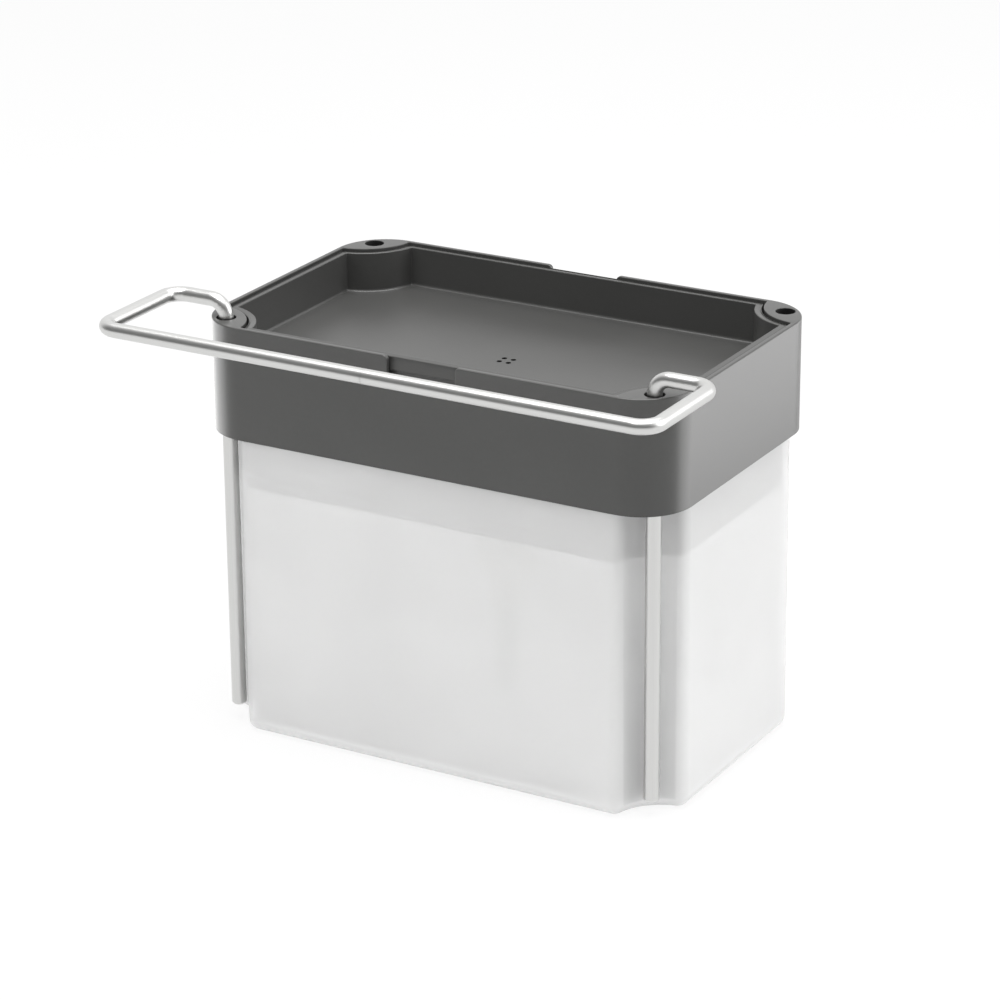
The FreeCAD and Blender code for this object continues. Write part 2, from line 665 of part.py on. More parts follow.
def make_return_spring():
    """Open-wound compression spring between the guide and the pump head."""
    radius = SPRING_MEAN_DIAMETER / 2
    low = GUIDE_TOP + SPRING_WIRE / 2 + SPRING_SEAT_GAP
    high = HEAD_UNDERSIDE - SPRING_WIRE / 2 - SPRING_SEAT_GAP
    pitch = (high - low) / SPRING_TURNS
    climb = pitch / (2 * math.pi * radius)

    def place(angle):
        return Vector(radius * math.cos(angle), radius * math.sin(angle), low + pitch * angle / (2 * math.pi))

    def heading(angle):
        return Vector(-math.sin(angle), math.cos(angle), climb).normalize()

    edges = []
    for half_turn in range(2 * SPRING_TURNS):
        start = half_turn * math.pi
        end = start + math.pi
        edges += biarc(place(start), heading(start), place(end), heading(end))
    section = Part.Wire(Part.Circle(place(0), heading(0), SPRING_WIRE / 2).toShape())
    spring = Part.Wire(edges).makePipeShell([section], True, False)
    steps = 24
    samples = [place(2 * math.pi * step / steps) for step in range(steps * SPRING_TURNS + 1)]
    gaps = []
    for index, sample in enumerate(samples):
        for other in samples[index + steps // 2:]:
            gaps.append((sample - other).Length - SPRING_WIRE)
    print("return spring: least gap to itself %.2f mm" % min(gaps))
    return spring


def make_piston_stem():
    """Hollow stem with the outlet valve's seat at its top and a flange above the piston seal."""
    bore = STEM_BORE / 2
    chamber = OUTLET_CHAMBER_DIAMETER / 2
    flange = STEM_FLANGE_DIAMETER / 2
    socket = CARRIER_RADIUS + CARRIER_CLEARANCE
    socket_top = STEM_BOTTOM + CARRIER_SPIGOT_LENGTH
    return turned([
        (socket, STEM_BOTTOM),
        (flange, STEM_BOTTOM),
        (flange, STEM_FLANGE_TOP),
        (STEM_RADIUS, STEM_FLANGE_TOP),
        (STEM_RADIUS, STEM_TOP),
        (chamber, STEM_TOP),
        (chamber, OUTLET_SEAT + chamber - bore),
        (bore, OUTLET_SEAT),
        (bore, socket_top),
        (socket, socket_top),
    ])


def make_piston_carrier():
    """Hollow carrier pressed into the stem, which holds the piston seal."""
    bore = CARRIER_BORE / 2
    flange = CARRIER_FLANGE_DIAMETER / 2
    top = STEM_BOTTOM + CARRIER_SPIGOT_LENGTH
    return turned([
        (bore, CARRIER_BOTTOM),
        (flange, CARRIER_BOTTOM),
        (flange, PISTON_SEAL_BOTTOM),
        (CARRIER_RADIUS, PISTON_SEAL_BOTTOM),
        (CARRIER_RADIUS, top),
        (bore, top),
    ])


def make_piston_seal():
    """Two-lipped piston seal."""
    inner = CARRIER_RADIUS + CARRIER_CLEARANCE
    lip = BARREL_BORE_RADIUS - PISTON_CLEARANCE
    waist = lip - PISTON_SEAL_WAIST
    lower_lip = PISTON_SEAL_BOTTOM + PISTON_SEAL_LIP
    upper_lip = STEM_BOTTOM - PISTON_SEAL_LIP
    return turned([
        (inner, PISTON_SEAL_BOTTOM),
        (lip, PISTON_SEAL_BOTTOM),
        (waist, lower_lip),
        (waist, upper_lip),
        (lip, STEM_BOTTOM),
        (inner, STEM_BOTTOM),
    ])


def make_outlet_ball():
    """Outlet valve ball on its seat in the stem."""
    return Part.makeSphere(OUTLET_BALL_RADIUS, Vector(0, 0, OUTLET_BALL_CENTRE))


def make_pump_head():
    """Head with a plate for the tray, a socket for its spigot and a hub on the stem."""
    hub = HEAD_HUB_DIAMETER / 2
    plate = HEAD_PLATE_DIAMETER / 2
    stem_socket = STEM_RADIUS + STEM_CLEARANCE
    socket = SPIGOT_DIAMETER / 2 + SPIGOT_CLEARANCE
    body = rod(hub, HEAD_BOTTOM, HEAD_TOP)
    disc = rod(plate, HEAD_UNDERSIDE, HEAD_TOP)
    disc = disc.makeChamfer(HEAD_EDGE_CHAMFER, edges_at(disc, HEAD_TOP) + edges_at(disc, HEAD_UNDERSIDE))
    body = body.fuse(disc)
    body = body.cut(rod(stem_socket, HEAD_BOTTOM - CUT_MARGIN, STEM_TOP))
    body = body.cut(rod(socket, OUTLET_GASKET_BOTTOM, HEAD_TOP + CUT_MARGIN))
    half_length = HEAD_SLOT_LENGTH / 2
    half_width = HEAD_SLOT_WIDTH / 2
    slot_low = STEM_TOP - CUT_MARGIN
    slot_high = OUTLET_GASKET_BOTTOM + CUT_MARGIN
    body = body.cut(block(-half_length, half_length, -half_width, half_width, slot_low, slot_high))
    body = body.cut(block(-half_width, half_width, -half_length, half_length, slot_low, slot_high))
    return body.removeSplitter()


def make_outlet_gasket():
    """Gasket between the pump head and the tray's spigot."""
    outer = SPIGOT_DIAMETER / 2 + SPIGOT_CLEARANCE - OUTLET_GASKET_CLEARANCE
    return ring(OUTLET_GASKET_BORE / 2, outer, OUTLET_GASKET_BOTTOM, SPIGOT_BOTTOM)


def dished_face(half_x, half_y, drop):
    """Shallow dish, level with the floor's edge along the well's walls and lower in the middle."""
    span_x = half_x + CUT_MARGIN
    span_y = half_y + CUT_MARGIN
    end_x = 1 - (span_x / half_x) ** 2
    end_y = 1 - (span_y / half_y) ** 2
    weights_x = [end_x, 2 - end_x, end_x]
    weights_y = [end_y, 2 - end_y, end_y]
    surface = Part.BezierSurface()
    surface.increase(2, 2)
    for row in range(3):
        for column in range(3):
            height = FLOOR_EDGE - drop - TRAY_DISH * weights_x[row] * weights_y[column]
            pole = Vector((row - 1) * span_x, (column - 1) * span_y, height)
            surface.setPole(row + 1, column + 1, pole)
    return surface.toShape()


def make_tray():
    """Sponge tray with a lip, a dished floor, soap outlets, a spigot and ribs below."""
    lip = tray_lip()
    wall = lip.inset(TRAY_LIP_OVERHANG)
    well = lip.inset(TRAY_RIM_WIDTH, 0.0)
    body = lip.prism(LIP_BOTTOM, RIM_TOP)
    body = body.makeChamfer(TRAY_RIM_CHAMFER, edges_at(body, RIM_TOP))
    body = body.fuse(wall.prism(HEAD_TOP, LIP_BOTTOM))
    rise = TRAY_DEPTH + TRAY_DISH + CUT_MARGIN
    above_floor = dished_face(well.half_x, well.half_y, 0.0).extrude(Vector(0, 0, rise))
    well_space = well.prism(FLOOR_MIDDLE - CUT_MARGIN, RIM_TOP + CUT_MARGIN)
    body = body.cut(well_space.common(above_floor))
    below_floor = dished_face(well.half_x, well.half_y, TRAY_FLOOR).extrude(Vector(0, 0, -rise))
    pocket = well.prism(HEAD_TOP - CUT_MARGIN, FLOOR_EDGE).common(below_floor)
    half_rib = TRAY_RIB_THICKNESS / 2
    for x in (-TRAY_RIB_SPACING_X / 2, TRAY_RIB_SPACING_X / 2):
        pocket = pocket.cut(block(x - half_rib, x + half_rib, -HALF_WIDTH, HALF_WIDTH, HEAD_TOP, FLOOR_EDGE))
    for y in (-TRAY_RIB_SPACING_Y / 2, TRAY_RIB_SPACING_Y / 2):
        pocket = pocket.cut(block(-HALF_LENGTH, HALF_LENGTH, y - half_rib, y + half_rib, HEAD_TOP, FLOOR_EDGE))
    ring_radius = TRAY_RING_DIAMETER / 2
    pocket = pocket.cut(ring(ring_radius - half_rib, ring_radius + half_rib, HEAD_TOP, FLOOR_EDGE))
    body = body.cut(pocket)
    body = body.fuse(rod(SPIGOT_DIAMETER / 2, SPIGOT_BOTTOM, FLOOR_MIDDLE - TRAY_FLOOR / 2))
    body = body.cut(rod(SPIGOT_BORE / 2, SPIGOT_BOTTOM - CUT_MARGIN, FLOOR_MIDDLE - OUTLET_WEB))
    for x, y in signed_pairs(OUTLET_PITCH / 2, OUTLET_PITCH / 2):
        body = body.cut(rod(OUTLET_DIAMETER / 2, SPIGOT_BOTTOM, FLOOR_EDGE, x, y))
    return body.removeSplitter()


def make_towel_rail():
    """One bent wire: two long legs in the front posts, two side arms and a bar across the front."""
    left_side = [
        Vector(-BORE_X, -BORE_Y, RAIL_FOOT_GAP),
        Vector(-BORE_X, -BORE_Y, RAIL_LEVEL),
        Vector(-RAIL_ARM_X, -BORE_Y, RAIL_LEVEL),
        Vector(-RAIL_ARM_X, RAIL_BAR_Y, RAIL_LEVEL),
    ]
    right_side = [Vector(-point.x, point.y, point.z) for point in reversed(left_side)]
    side_bends = [RAIL_RISE, RAIL_CORNER_RADIUS, RAIL_CORNER_RADIUS]
    bends = side_bends + list(reversed(side_bends))
    rail = bent_wire(left_side + right_side, bends, RAIL_WIRE)
    return rail.makeChamfer(RAIL_END_CHAMFER, edges_at(rail, RAIL_FOOT_GAP))


PIECES = {
    "tank": make_tank,
    "collar": make_collar,
    "deck": make_deck,
    "lid_seal": make_lid_seal,
    "pump_barrel": make_pump_barrel,
    "barrel_gasket": make_barrel_gasket,
    "lock_nut": make_lock_nut,
    "stem_guide": make_stem_guide,
    "inlet_ball": make_inlet_ball,
    "ball_retainer": make_ball_retainer,
    "dip_tube": make_dip_tube,
    "return_spring": make_return_spring,
    "piston_stem": make_piston_stem,
    "piston_carrier": make_piston_carrier,
    "piston_seal": make_piston_seal,
    "outlet_ball": make_outlet_ball,
    "pump_head": make_pump_head,
    "outlet_gasket": make_outlet_gasket,
    "tray": make_tray,
    "towel_rail": make_towel_rail,
}


def main():
    """Build each piece and write it to its own file."""
    os.makedirs("parts", exist_ok=True)
    for name, make in PIECES.items():
        shape = make()
        solids = len(shape.Solids)
        print("%s: %d solid, valid %s, %.1f mm3" % (name, solids, shape.isValid(), shape.Volume))
        shape.exportStep("parts/%s.step" % name)


main()
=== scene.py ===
"""Soap pump caddy: models the shells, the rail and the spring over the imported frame, and sets the stage."""

import json
import math

import bmesh
import bpy
from bpy.props import FloatProperty, FloatVectorProperty, IntProperty, PointerProperty
from mathutils import Matrix, Quaternion, Vector


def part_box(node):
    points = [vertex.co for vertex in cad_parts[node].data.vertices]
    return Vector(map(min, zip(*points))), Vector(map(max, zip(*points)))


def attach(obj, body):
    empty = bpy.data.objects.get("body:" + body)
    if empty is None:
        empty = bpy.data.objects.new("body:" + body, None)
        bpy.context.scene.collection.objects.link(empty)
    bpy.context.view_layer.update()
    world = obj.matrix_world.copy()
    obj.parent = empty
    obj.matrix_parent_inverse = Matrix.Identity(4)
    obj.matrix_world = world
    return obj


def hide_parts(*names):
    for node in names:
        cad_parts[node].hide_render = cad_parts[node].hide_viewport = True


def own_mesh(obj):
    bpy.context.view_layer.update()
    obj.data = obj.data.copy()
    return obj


bl_info = {
    "name": "Soap Pump Caddy",
    "version": (1, 0, 0),
    "blender": (4, 5, 0),
    "location": "3D View > Sidebar > Caddy",
    "description": "Models and finishes a counter-top soap pump caddy with a towel rail",
    "category": "Object",
}

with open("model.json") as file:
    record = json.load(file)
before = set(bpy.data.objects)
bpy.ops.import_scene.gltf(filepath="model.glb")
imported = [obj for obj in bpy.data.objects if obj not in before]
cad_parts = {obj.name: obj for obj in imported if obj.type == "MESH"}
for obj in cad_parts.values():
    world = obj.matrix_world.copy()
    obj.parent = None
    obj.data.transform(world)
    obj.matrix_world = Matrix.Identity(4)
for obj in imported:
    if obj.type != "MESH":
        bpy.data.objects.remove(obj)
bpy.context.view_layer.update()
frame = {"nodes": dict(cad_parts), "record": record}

# Distance under which two points of a mesh are one
SEAM = 1e-6
# Edges that turn by more than this stay crisp
CRISP_ANGLE = math.radians(35)
UP = (0, 0, 1)

PUMP_NODES = {
    "pump_plastic": [
        "pump_barrel", "lock_nut", "stem_guide", "ball_retainer", "piston_stem", "piston_carrier",
        "pump_head"],
    "silicone": ["lid_seal", "barrel_gasket", "piston_seal", "outlet_gasket"],
    "spring_steel": ["inlet_ball", "outlet_ball"],
    "tube_plastic": ["dip_tube"],
}


def length(name, default, description):
    """A length that a user may change."""
    return FloatProperty(
        name=name, description=description, default=default, min=0.0, unit="LENGTH", precision=5)


def colour(name, default, description):
    """A colour that a user may change."""
    return FloatVectorProperty(
        name=name, description=description, default=default, size=3, subtype="COLOR", min=0, max=1)


def turn(name, degrees, description):
    """An angle that a user may change."""
    return FloatProperty(name=name, description=description, default=math.radians(degrees), subtype="ANGLE")


def amount(name, default, description):
    """A strength or share that a user may change."""
    return FloatProperty(name=name, description=description, default=default, min=0.0)


class CaddySizes(bpy.types.PropertyGroup):
    """Sizes of the modelled pieces that the frame's boxes don't give."""

    groove_reach: length("Groove Reach", 0.0129, "Radius of the tank's grooves about the sharp corners")
    tank_lobe: length("Tank Lobe", 0.0036, "Rounding of the tank beside its corner grooves")
    tank_wall: length("Tank Wall", 0.002, "Thickness of the tank's wall")
    tank_floor: length("Tank Floor", 0.0025, "Thickness of the tank's floor")
    tank_base: length("Tank Base", 0.0034, "Rounding round the tank's base")
    tank_inner_base: length("Tank Inner Base", 0.0014, "Rounding round the tank's inner floor")
    tank_rim: length("Tank Rim", 0.0004, "Rounding of the tank's rim")
    collar_corner: length("Collar Corner", 0.0143, "Radius of the collar's corners")
    collar_wall: length("Collar Wall", 0.0014, "Thickness of the collar's wall")
    collar_edge: length("Collar Edge", 0.0004, "Rounding of the collar's outer top edge")
    collar_inner_edge: length("Collar Inner Edge", 0.00025, "Rounding of the collar's inner top edges")
    post_reach: length("Post Reach", 0.0148, "Radius of the collar's posts about its sharp corners")
    post_lobe: length("Post Lobe", 0.0006, "Rounding where a post meets the collar's wall")
    notch_width: length("Notch Width", 0.020, "Width of the finger notches")
    notch_depth: length("Notch Depth", 0.008, "Depth of the finger notches")
    notch_mouth: length("Notch Mouth", 0.0012, "Rounding of the finger notches' mouths")
    notch_foot: length("Notch Foot", 0.0015, "Rounding of the finger notches' floors")
    stop_length: length("Stop Length", 0.014, "Length of the ribs in the collar above the deck")
    stop_height: length("Stop Height", 0.0012, "Height of those ribs")
    stop_depth: length("Stop Depth", 0.0008, "How far those ribs stand out from the wall")
    stop_spacing: length("Stop Spacing", 0.070, "Spacing of those ribs along the long walls")
    tray_reach: length("Tray Reach", 0.0153, "Radius of the tray's hollows about the collar's sharp corners")
    tray_lobe: length("Tray Lobe", 0.002, "Rounding of the tray's lip beside its hollow corners")
    tray_rim: length("Tray Rim", 0.002, "Width of the tray's rim")
    tray_edge: length("Tray Edge", 0.0003, "Rounding of the tray's edges")
    tray_lip: length("Tray Lip", 0.00385, "Height of the tray's lip")
    tray_overhang: length("Tray Overhang", 0.0008, "How far the lip stands out from the tray's wall")
    tray_depth: length("Tray Depth", 0.011, "Depth of the tray along its walls")
    tray_dish: length("Tray Dish", 0.0014, "How much deeper the tray is in its middle")
    tray_floor: length("Tray Floor", 0.002, "Thickness of the tray's floor")
    tray_fillet: length("Tray Fillet", 0.0008, "Rounding between the tray's walls and floor")
    outlet_width: length("Outlet Width", 0.0015, "Diameter of a soap outlet")
    outlet_pitch: length("Outlet Pitch", 0.00274, "Spacing of the soap outlets")
    outlet_web: length("Outlet Web", 0.0014, "Thickness of the floor at the soap outlets")
    spigot_width: length("Spigot Width", 0.009, "Diameter of the spigot under the outlets")
    spigot_bore: length("Spigot Bore", 0.006, "Bore of that spigot")
    rib_width: length("Rib Width", 0.0012, "Thickness of the ribs under the tray")
    rib_sink: length("Rib Sink", 0.00175, "How far those ribs end below the top of the floor's edge")
    rib_spread: length("Rib Spread", 0.072, "Distance between the two ribs across the tray")
    rib_spacing: length("Rib Spacing", 0.040, "Distance between the two ribs along the tray")
    ring_width: length("Ring Width", 0.024, "Diameter of the ring under the tray")
    ring_drop: length("Ring Drop", 0.001, "How much lower the ring ends than the ribs")
    rail_wire: length("Rail Wire", 0.004, "Diameter of the towel rail's wire")
    rail_rise: length("Rail Rise", 0.0044, "Radius of the bends above the posts")
    rail_bend: length("Rail Bend", 0.005, "Radius of the rail's corner bends")
    rail_chamfer: length("Rail Chamfer", 0.0004, "Chamfer at the ends of the rail's legs")
    spring_wire: length("Spring Wire", 0.0012, "Diameter of the spring's wire")
    spring_turns: IntProperty(name="Spring Turns", description="Turns of the return spring", default=4, min=1)


class CaddyFinish(bpy.types.PropertyGroup):
    """Colours of the finishes."""

    grey_plastic: colour("Grey Plastic", (0.062, 0.062, 0.060), "Satin moulding of the collar and the tray")
    lid_plastic: colour("Lid Plastic", (0.085, 0.085, 0.083), "Plain moulding of the deck and its plug")
    frosted_tank: colour("Frosted Tank", (0.93, 0.93, 0.93), "Frosted translucent tank")
    pump_plastic: colour("Pump Plastic", (0.71, 0.71, 0.68), "Plain moulding of the pump")
    tube_plastic: colour("Tube Plastic", (0.78, 0.80, 0.78), "Translucent dip tube")
    silicone: colour("Silicone", (0.13, 0.13, 0.13), "Seals and gaskets")
    rail_steel: colour("Rail Steel", (0.66, 0.66, 0.65), "Satin stainless towel rail")
    spring_steel: colour("Spring Steel", (0.50, 0.50, 0.49), "Drawn stainless spring and valve balls")


class CaddyStage(bpy.types.PropertyGroup):
    """Camera, floor and light."""

    camera_azimuth: turn("Camera Azimuth", 29.795, "Turn of the camera to the right of the front")
    camera_elevation: turn("Camera Elevation", 21.126, "Height of the camera above the horizon")
    camera_roll: turn("Camera Roll", -0.389, "Turn of the camera about its own axis")
    camera_distance: length("Camera Distance", 0.993779, "Distance from the camera to its aim")
    camera_aim: FloatVectorProperty(
        name="Camera Aim", description="Point that the camera looks at", default=(-0.002225, 0.0, 0.062303),
        subtype="TRANSLATION", unit="LENGTH", precision=5)
    camera_lens: FloatProperty(
        name="Camera Lens", description="Focal length for a 36 mm wide picture", default=133.689, min=1.0,
        unit="CAMERA")
    floor_colour: colour("Floor Colour", (0.86, 0.86, 0.86), "Pale studio floor")
    floor_white: amount("Floor White", 0.88, "Share of plain white in the floor that the camera sees")
    sky_level: amount("Sky Level", 0.40, "Strength of the studio's soft light")
    room_level: amount("Room Level", 0.16, "Strength of the dim side of the studio")


class Flow:
    """A shader socket that takes part in arithmetic."""

    def __init__(self, tree, socket):
        self.tree = tree
        self.socket = socket

    def __add__(self, other):
        return self.tree.math("ADD", self, other)

    def __radd__(self, other):
        return self.tree.math("ADD", other, self)

    def __sub__(self, other):
        return self.tree.math("SUBTRACT", self, other)

    def __rsub__(self, other):
        return self.tree.math("SUBTRACT", other, self)

    def __mul__(self, other):
        return self.tree.math("MULTIPLY", self, other)

    def __rmul__(self, other):
        return self.tree.math("MULTIPLY", other, self)


class ShaderTree:
    """A node tree that is written as expressions."""

    def __init__(self, tree):
        self.tree = tree
        tree.nodes.clear()

    def add(self, kind, settings=None, sockets=None, output=0):
        """Add a node, apply its settings, fill its sockets and return one of its outputs."""
        node = self.tree.nodes.new(kind)
        for name, value in (settings or {}).items():
            setattr(node, name, value)
        for name, value in (sockets or {}).items():
            if isinstance(value, Flow):
                self.tree.links.new(value.socket, node.inputs[name])
            else:
                node.inputs[name].default_value = value
        return Flow(self, node.outputs[output]) if node.outputs else None

    def math(self, operation, first, second):
        """A Math node on two values."""
        return self.add("ShaderNodeMath", {"operation": operation}, {0: first, 1: second})

    def place(self):
        """Object coordinates, in metres."""
        return self.add("ShaderNodeTexCoord", output="Object")

    def noise(self, place, scale, detail):
        """Noise from 0 to 1 with a number of waves to the metre."""
        return self.add("ShaderNodeTexNoise", None, {"Vector": place, "Scale": scale, "Detail": detail})

    def ease(self, value, start, end, low=0.0, high=1.0):
        """A value that goes smoothly from low to high between two of its own."""
        sockets = {"Value": value, "From Min": start, "From Max": end, "To Min": low, "To Max": high}
        return self.add("ShaderNodeMapRange", {"interpolation_type": "SMOOTHSTEP"}, sockets)

    def rays(self):
        """Whether a ray comes from the camera, from gloss or through a clear piece."""
        kinds = ("Is Camera Ray", "Is Glossy Ray", "Is Transmission Ray")
        return [self.add("ShaderNodeLightPath", output=kind) for kind in kinds]

    def mix(self, factor, first, second):
        """Mix of two colours."""
        return self.add("ShaderNodeMix", {"data_type": "RGBA"}, {0: factor, 6: first, 7: second}, output=2)

    def bump(self, height, strength, distance):
        """Normals of a height."""
        sockets = {"Height": height, "Strength": strength, "Distance": distance}
        return self.add("ShaderNodeBump", None, sockets)


def shade(rgb, factor):
    """A colour with an alpha of 1, made lighter or darker."""
    return tuple(min(part * factor, 1.0) for part in rgb) + (1.0,)


def new_finish(name):
    """A material with an empty node tree."""
    material = bpy.data.materials.new(name)
    material.use_nodes = True
    return material, ShaderTree(material.node_tree)


def close_finish(tree, sockets):
    """Principled shader on the material's output."""
    surface = tree.add("ShaderNodeBsdfPrincipled", None, sockets)
    tree.add("ShaderNodeOutputMaterial", None, {"Surface": surface})


def satin_moulding(name, rgb, roughness, texture_depth, painted_glow=0.0):
    """Moulded plastic with a fine eroded texture, a faint mottle, painted shade inside its marked bores and an
    optional painted glow.
    """
    material, tree = new_finish(name)
    place = tree.place()
    mottle = tree.noise(place, scale=28.0, detail=3.0)
    speckle = tree.noise(place, scale=900.0, detail=2.0)
    texture = tree.noise(place, scale=2600.0, detail=3.0)
    cloud = mottle * 0.75 + speckle * 0.25
    depth = tree.add("ShaderNodeAttribute", {"attribute_name": "recess"}, output="Fac")
    skin = tree.mix(tree.ease(cloud, 0.3, 0.7), shade(rgb, 0.95), shade(rgb, 1.05))
    close_finish(tree, {
        # Painted shade: the marked walls of deep bores are darkened near black, standing in for the shade
        # inside them.
        "Base Color": tree.mix(depth, skin, shade(rgb, 0.12)),
        "Roughness": roughness - 0.05 + 0.06 * mottle + 0.04 * speckle + 0.4 * depth,
        "Normal": tree.bump(texture, strength=0.3, distance=texture_depth),
        # Painted glow: the plastic emits its own colour, light with no lamp behind it.
        "Emission Color": skin,
        "Emission Strength": painted_glow,
        "IOR": 1.5,
    })
    return material


def frosted_moulding(name, rgb, cover, roughness, painted_glow=0.0):
    """Milky see-through plastic with a frosted skin, painted shade that greys its marked grooves, and an
    optional painted glow.
    """
    material, tree = new_finish(name)
    place = tree.place()
    cloud = tree.noise(place, scale=22.0, detail=2.0)
    frost = tree.noise(place, scale=1500.0, detail=3.0)
    depth = tree.add("ShaderNodeAttribute", {"attribute_name": "recess"}, output="Fac")
    skin = tree.mix(tree.ease(cloud, 0.3, 0.7), shade(rgb, 0.985), shade(rgb, 1.015))
    close_finish(tree, {
        # Painted shade: the tank's corner grooves are greyed by how deep they lie, standing in for the shade
        # there.
        "Base Color": tree.mix(depth, skin, shade(rgb, 0.62)),
        # Painted glow: the plastic emits its own colour, light with no lamp behind it.
        "Emission Color": skin,
        "Emission Strength": painted_glow,
        "Roughness": roughness - 0.05 + 0.06 * cloud + 0.05 * frost,
        "Alpha": cover - 0.02 + 0.04 * cloud,
        "IOR": 1.45,
        "Normal": tree.bump(frost, strength=0.25, distance=0.00003),
    })
    return material


def soft_silicone(name, rgb):
    """Matt silicone with a dusty skin."""
    material, tree = new_finish(name)
    place = tree.place()
    dust = tree.noise(place, scale=300.0, detail=4.0)
    skin = tree.noise(place, scale=1800.0, detail=2.0)
    close_finish(tree, {
        "Base Color": tree.mix(tree.ease(dust, 0.35, 0.7), shade(rgb, 0.94), shade(rgb, 1.05)),
        "Roughness": 0.5 + 0.14 * dust,
        "Normal": tree.bump(skin, strength=0.3, distance=0.00003),
        "IOR": 1.41,
    })
    return material


def drawn_wire(name, rgb, roughness):
    """Satin stainless wire with fine lines drawn along it."""
    material, tree = new_finish(name)
    along = tree.add("ShaderNodeAttribute", {"attribute_name": "wire"}, output="Vector")
    lines = tree.noise(along, scale=9.0, detail=4.0)
    place = tree.place()
    cloud = tree.noise(place, scale=60.0, detail=2.0)
    close_finish(tree, {
        "Base Color": tree.mix(tree.ease(lines, 0.3, 0.7), shade(rgb, 0.98), shade(rgb, 1.02)),
        "Metallic": 1.0,
        "Roughness": roughness - 0.05 + 0.06 * lines + 0.04 * cloud,
        "Normal": tree.bump(lines, strength=0.04, distance=0.00002),
    })
    return material


def polished_steel(name, rgb, roughness):
    """Stainless steel with a fine tumbled grain."""
    material, tree = new_finish(name)
    place = tree.place()
    cloud = tree.noise(place, scale=120.0, detail=2.0)
    grain = tree.noise(place, scale=2400.0, detail=3.0)
    close_finish(tree, {
        "Base Color": tree.mix(cloud, shade(rgb, 0.92), shade(rgb, 1.06)),
        "Metallic": 1.0,
        "Roughness": roughness - 0.04 + 0.08 * grain,
        "Normal": tree.bump(grain, strength=0.15, distance=0.00002),
    })
    return material


def make_finishes(finish):
    """Every finish by its slot in the record."""
    return {
        "frosted_tank": frosted_moulding(
            "frosted_tank_plastic", finish.frosted_tank, cover=0.53, roughness=0.36),
        "grey_plastic": satin_moulding(
            "satin_grey_plastic", finish.grey_plastic, roughness=0.32, texture_depth=0.00003),
        "lid_plastic": satin_moulding(
            "plain_lid_plastic", finish.lid_plastic, roughness=0.46, texture_depth=0.00002),
        # The pump and the dip tube get a painted glow, so that they don't show dark through the tank.
        "pump_plastic": satin_moulding(
            "white_pump_plastic", finish.pump_plastic, roughness=0.36, texture_depth=0.00002, painted_glow=0.16),
        "tube_plastic": frosted_moulding(
            "dip_tube_plastic", finish.tube_plastic, cover=0.60, roughness=0.30, painted_glow=0.10),
        "silicone": soft_silicone("seal_silicone", finish.silicone),
        "rail_steel": drawn_wire("satin_rail_steel", finish.rail_steel, roughness=0.32),
        "spring_steel": drawn_wire("drawn_spring_steel", finish.spring_steel, roughness=0.32),
        "ball_steel": polished_steel("polished_ball_steel", finish.spring_steel, roughness=0.16),
    }


def finish_named(slot):
    """The finish of a slot, made once."""
    scene = bpy.context.scene
    if "caddy_finishes" not in scene:
        made = make_finishes(scene.caddy_finish)
        scene["caddy_finishes"] = {name: material.name for name, material in made.items()}
    return bpy.data.materials[scene["caddy_finishes"][slot]]


def points_of(chain):
    """Points of a chain of edges, each once and in order."""
    return list(dict.fromkeys(point for edge in chain for point in edge.verts))


def edges_of(points):
    """Edges that meet any of the points, each once and in order."""
    return list(dict.fromkeys(edge for point in points for edge in point.link_edges))


class Pen:
    """Draws a chain of edges in a mesh by extruding and spinning its last point."""

    def __init__(self, bm, start):
        self.bm = bm
        self.tip = bm.verts.new(start)
        self.first = self.tip
        self.edges = []

    def line(self, end):
        """Straight edge to a point."""
        drawn = bmesh.ops.extrude_vert_indiv(self.bm, verts=[self.tip])
        self.tip = drawn["verts"][0]
        bmesh.ops.translate(self.bm, verts=[self.tip], vec=Vector(end) - self.tip.co)
        self.edges += drawn["edges"]

    def arc(self, centre, axis, angle, steps):
        """Arc about a centre."""
        known = set(self.bm.edges)
        drawn = bmesh.ops.spin(
            self.bm, geom=[self.tip], cent=centre, axis=axis, angle=angle, steps=steps, use_merge=False)
        self.tip = [item for item in drawn["geom_last"] if isinstance(item, bmesh.types.BMVert)][0]
        self.edges += [edge for edge in self.bm.edges if edge not in known]

    def take_edges(self):
        """The edges drawn since the last call."""
        taken = self.edges
        self.edges = []
        return taken


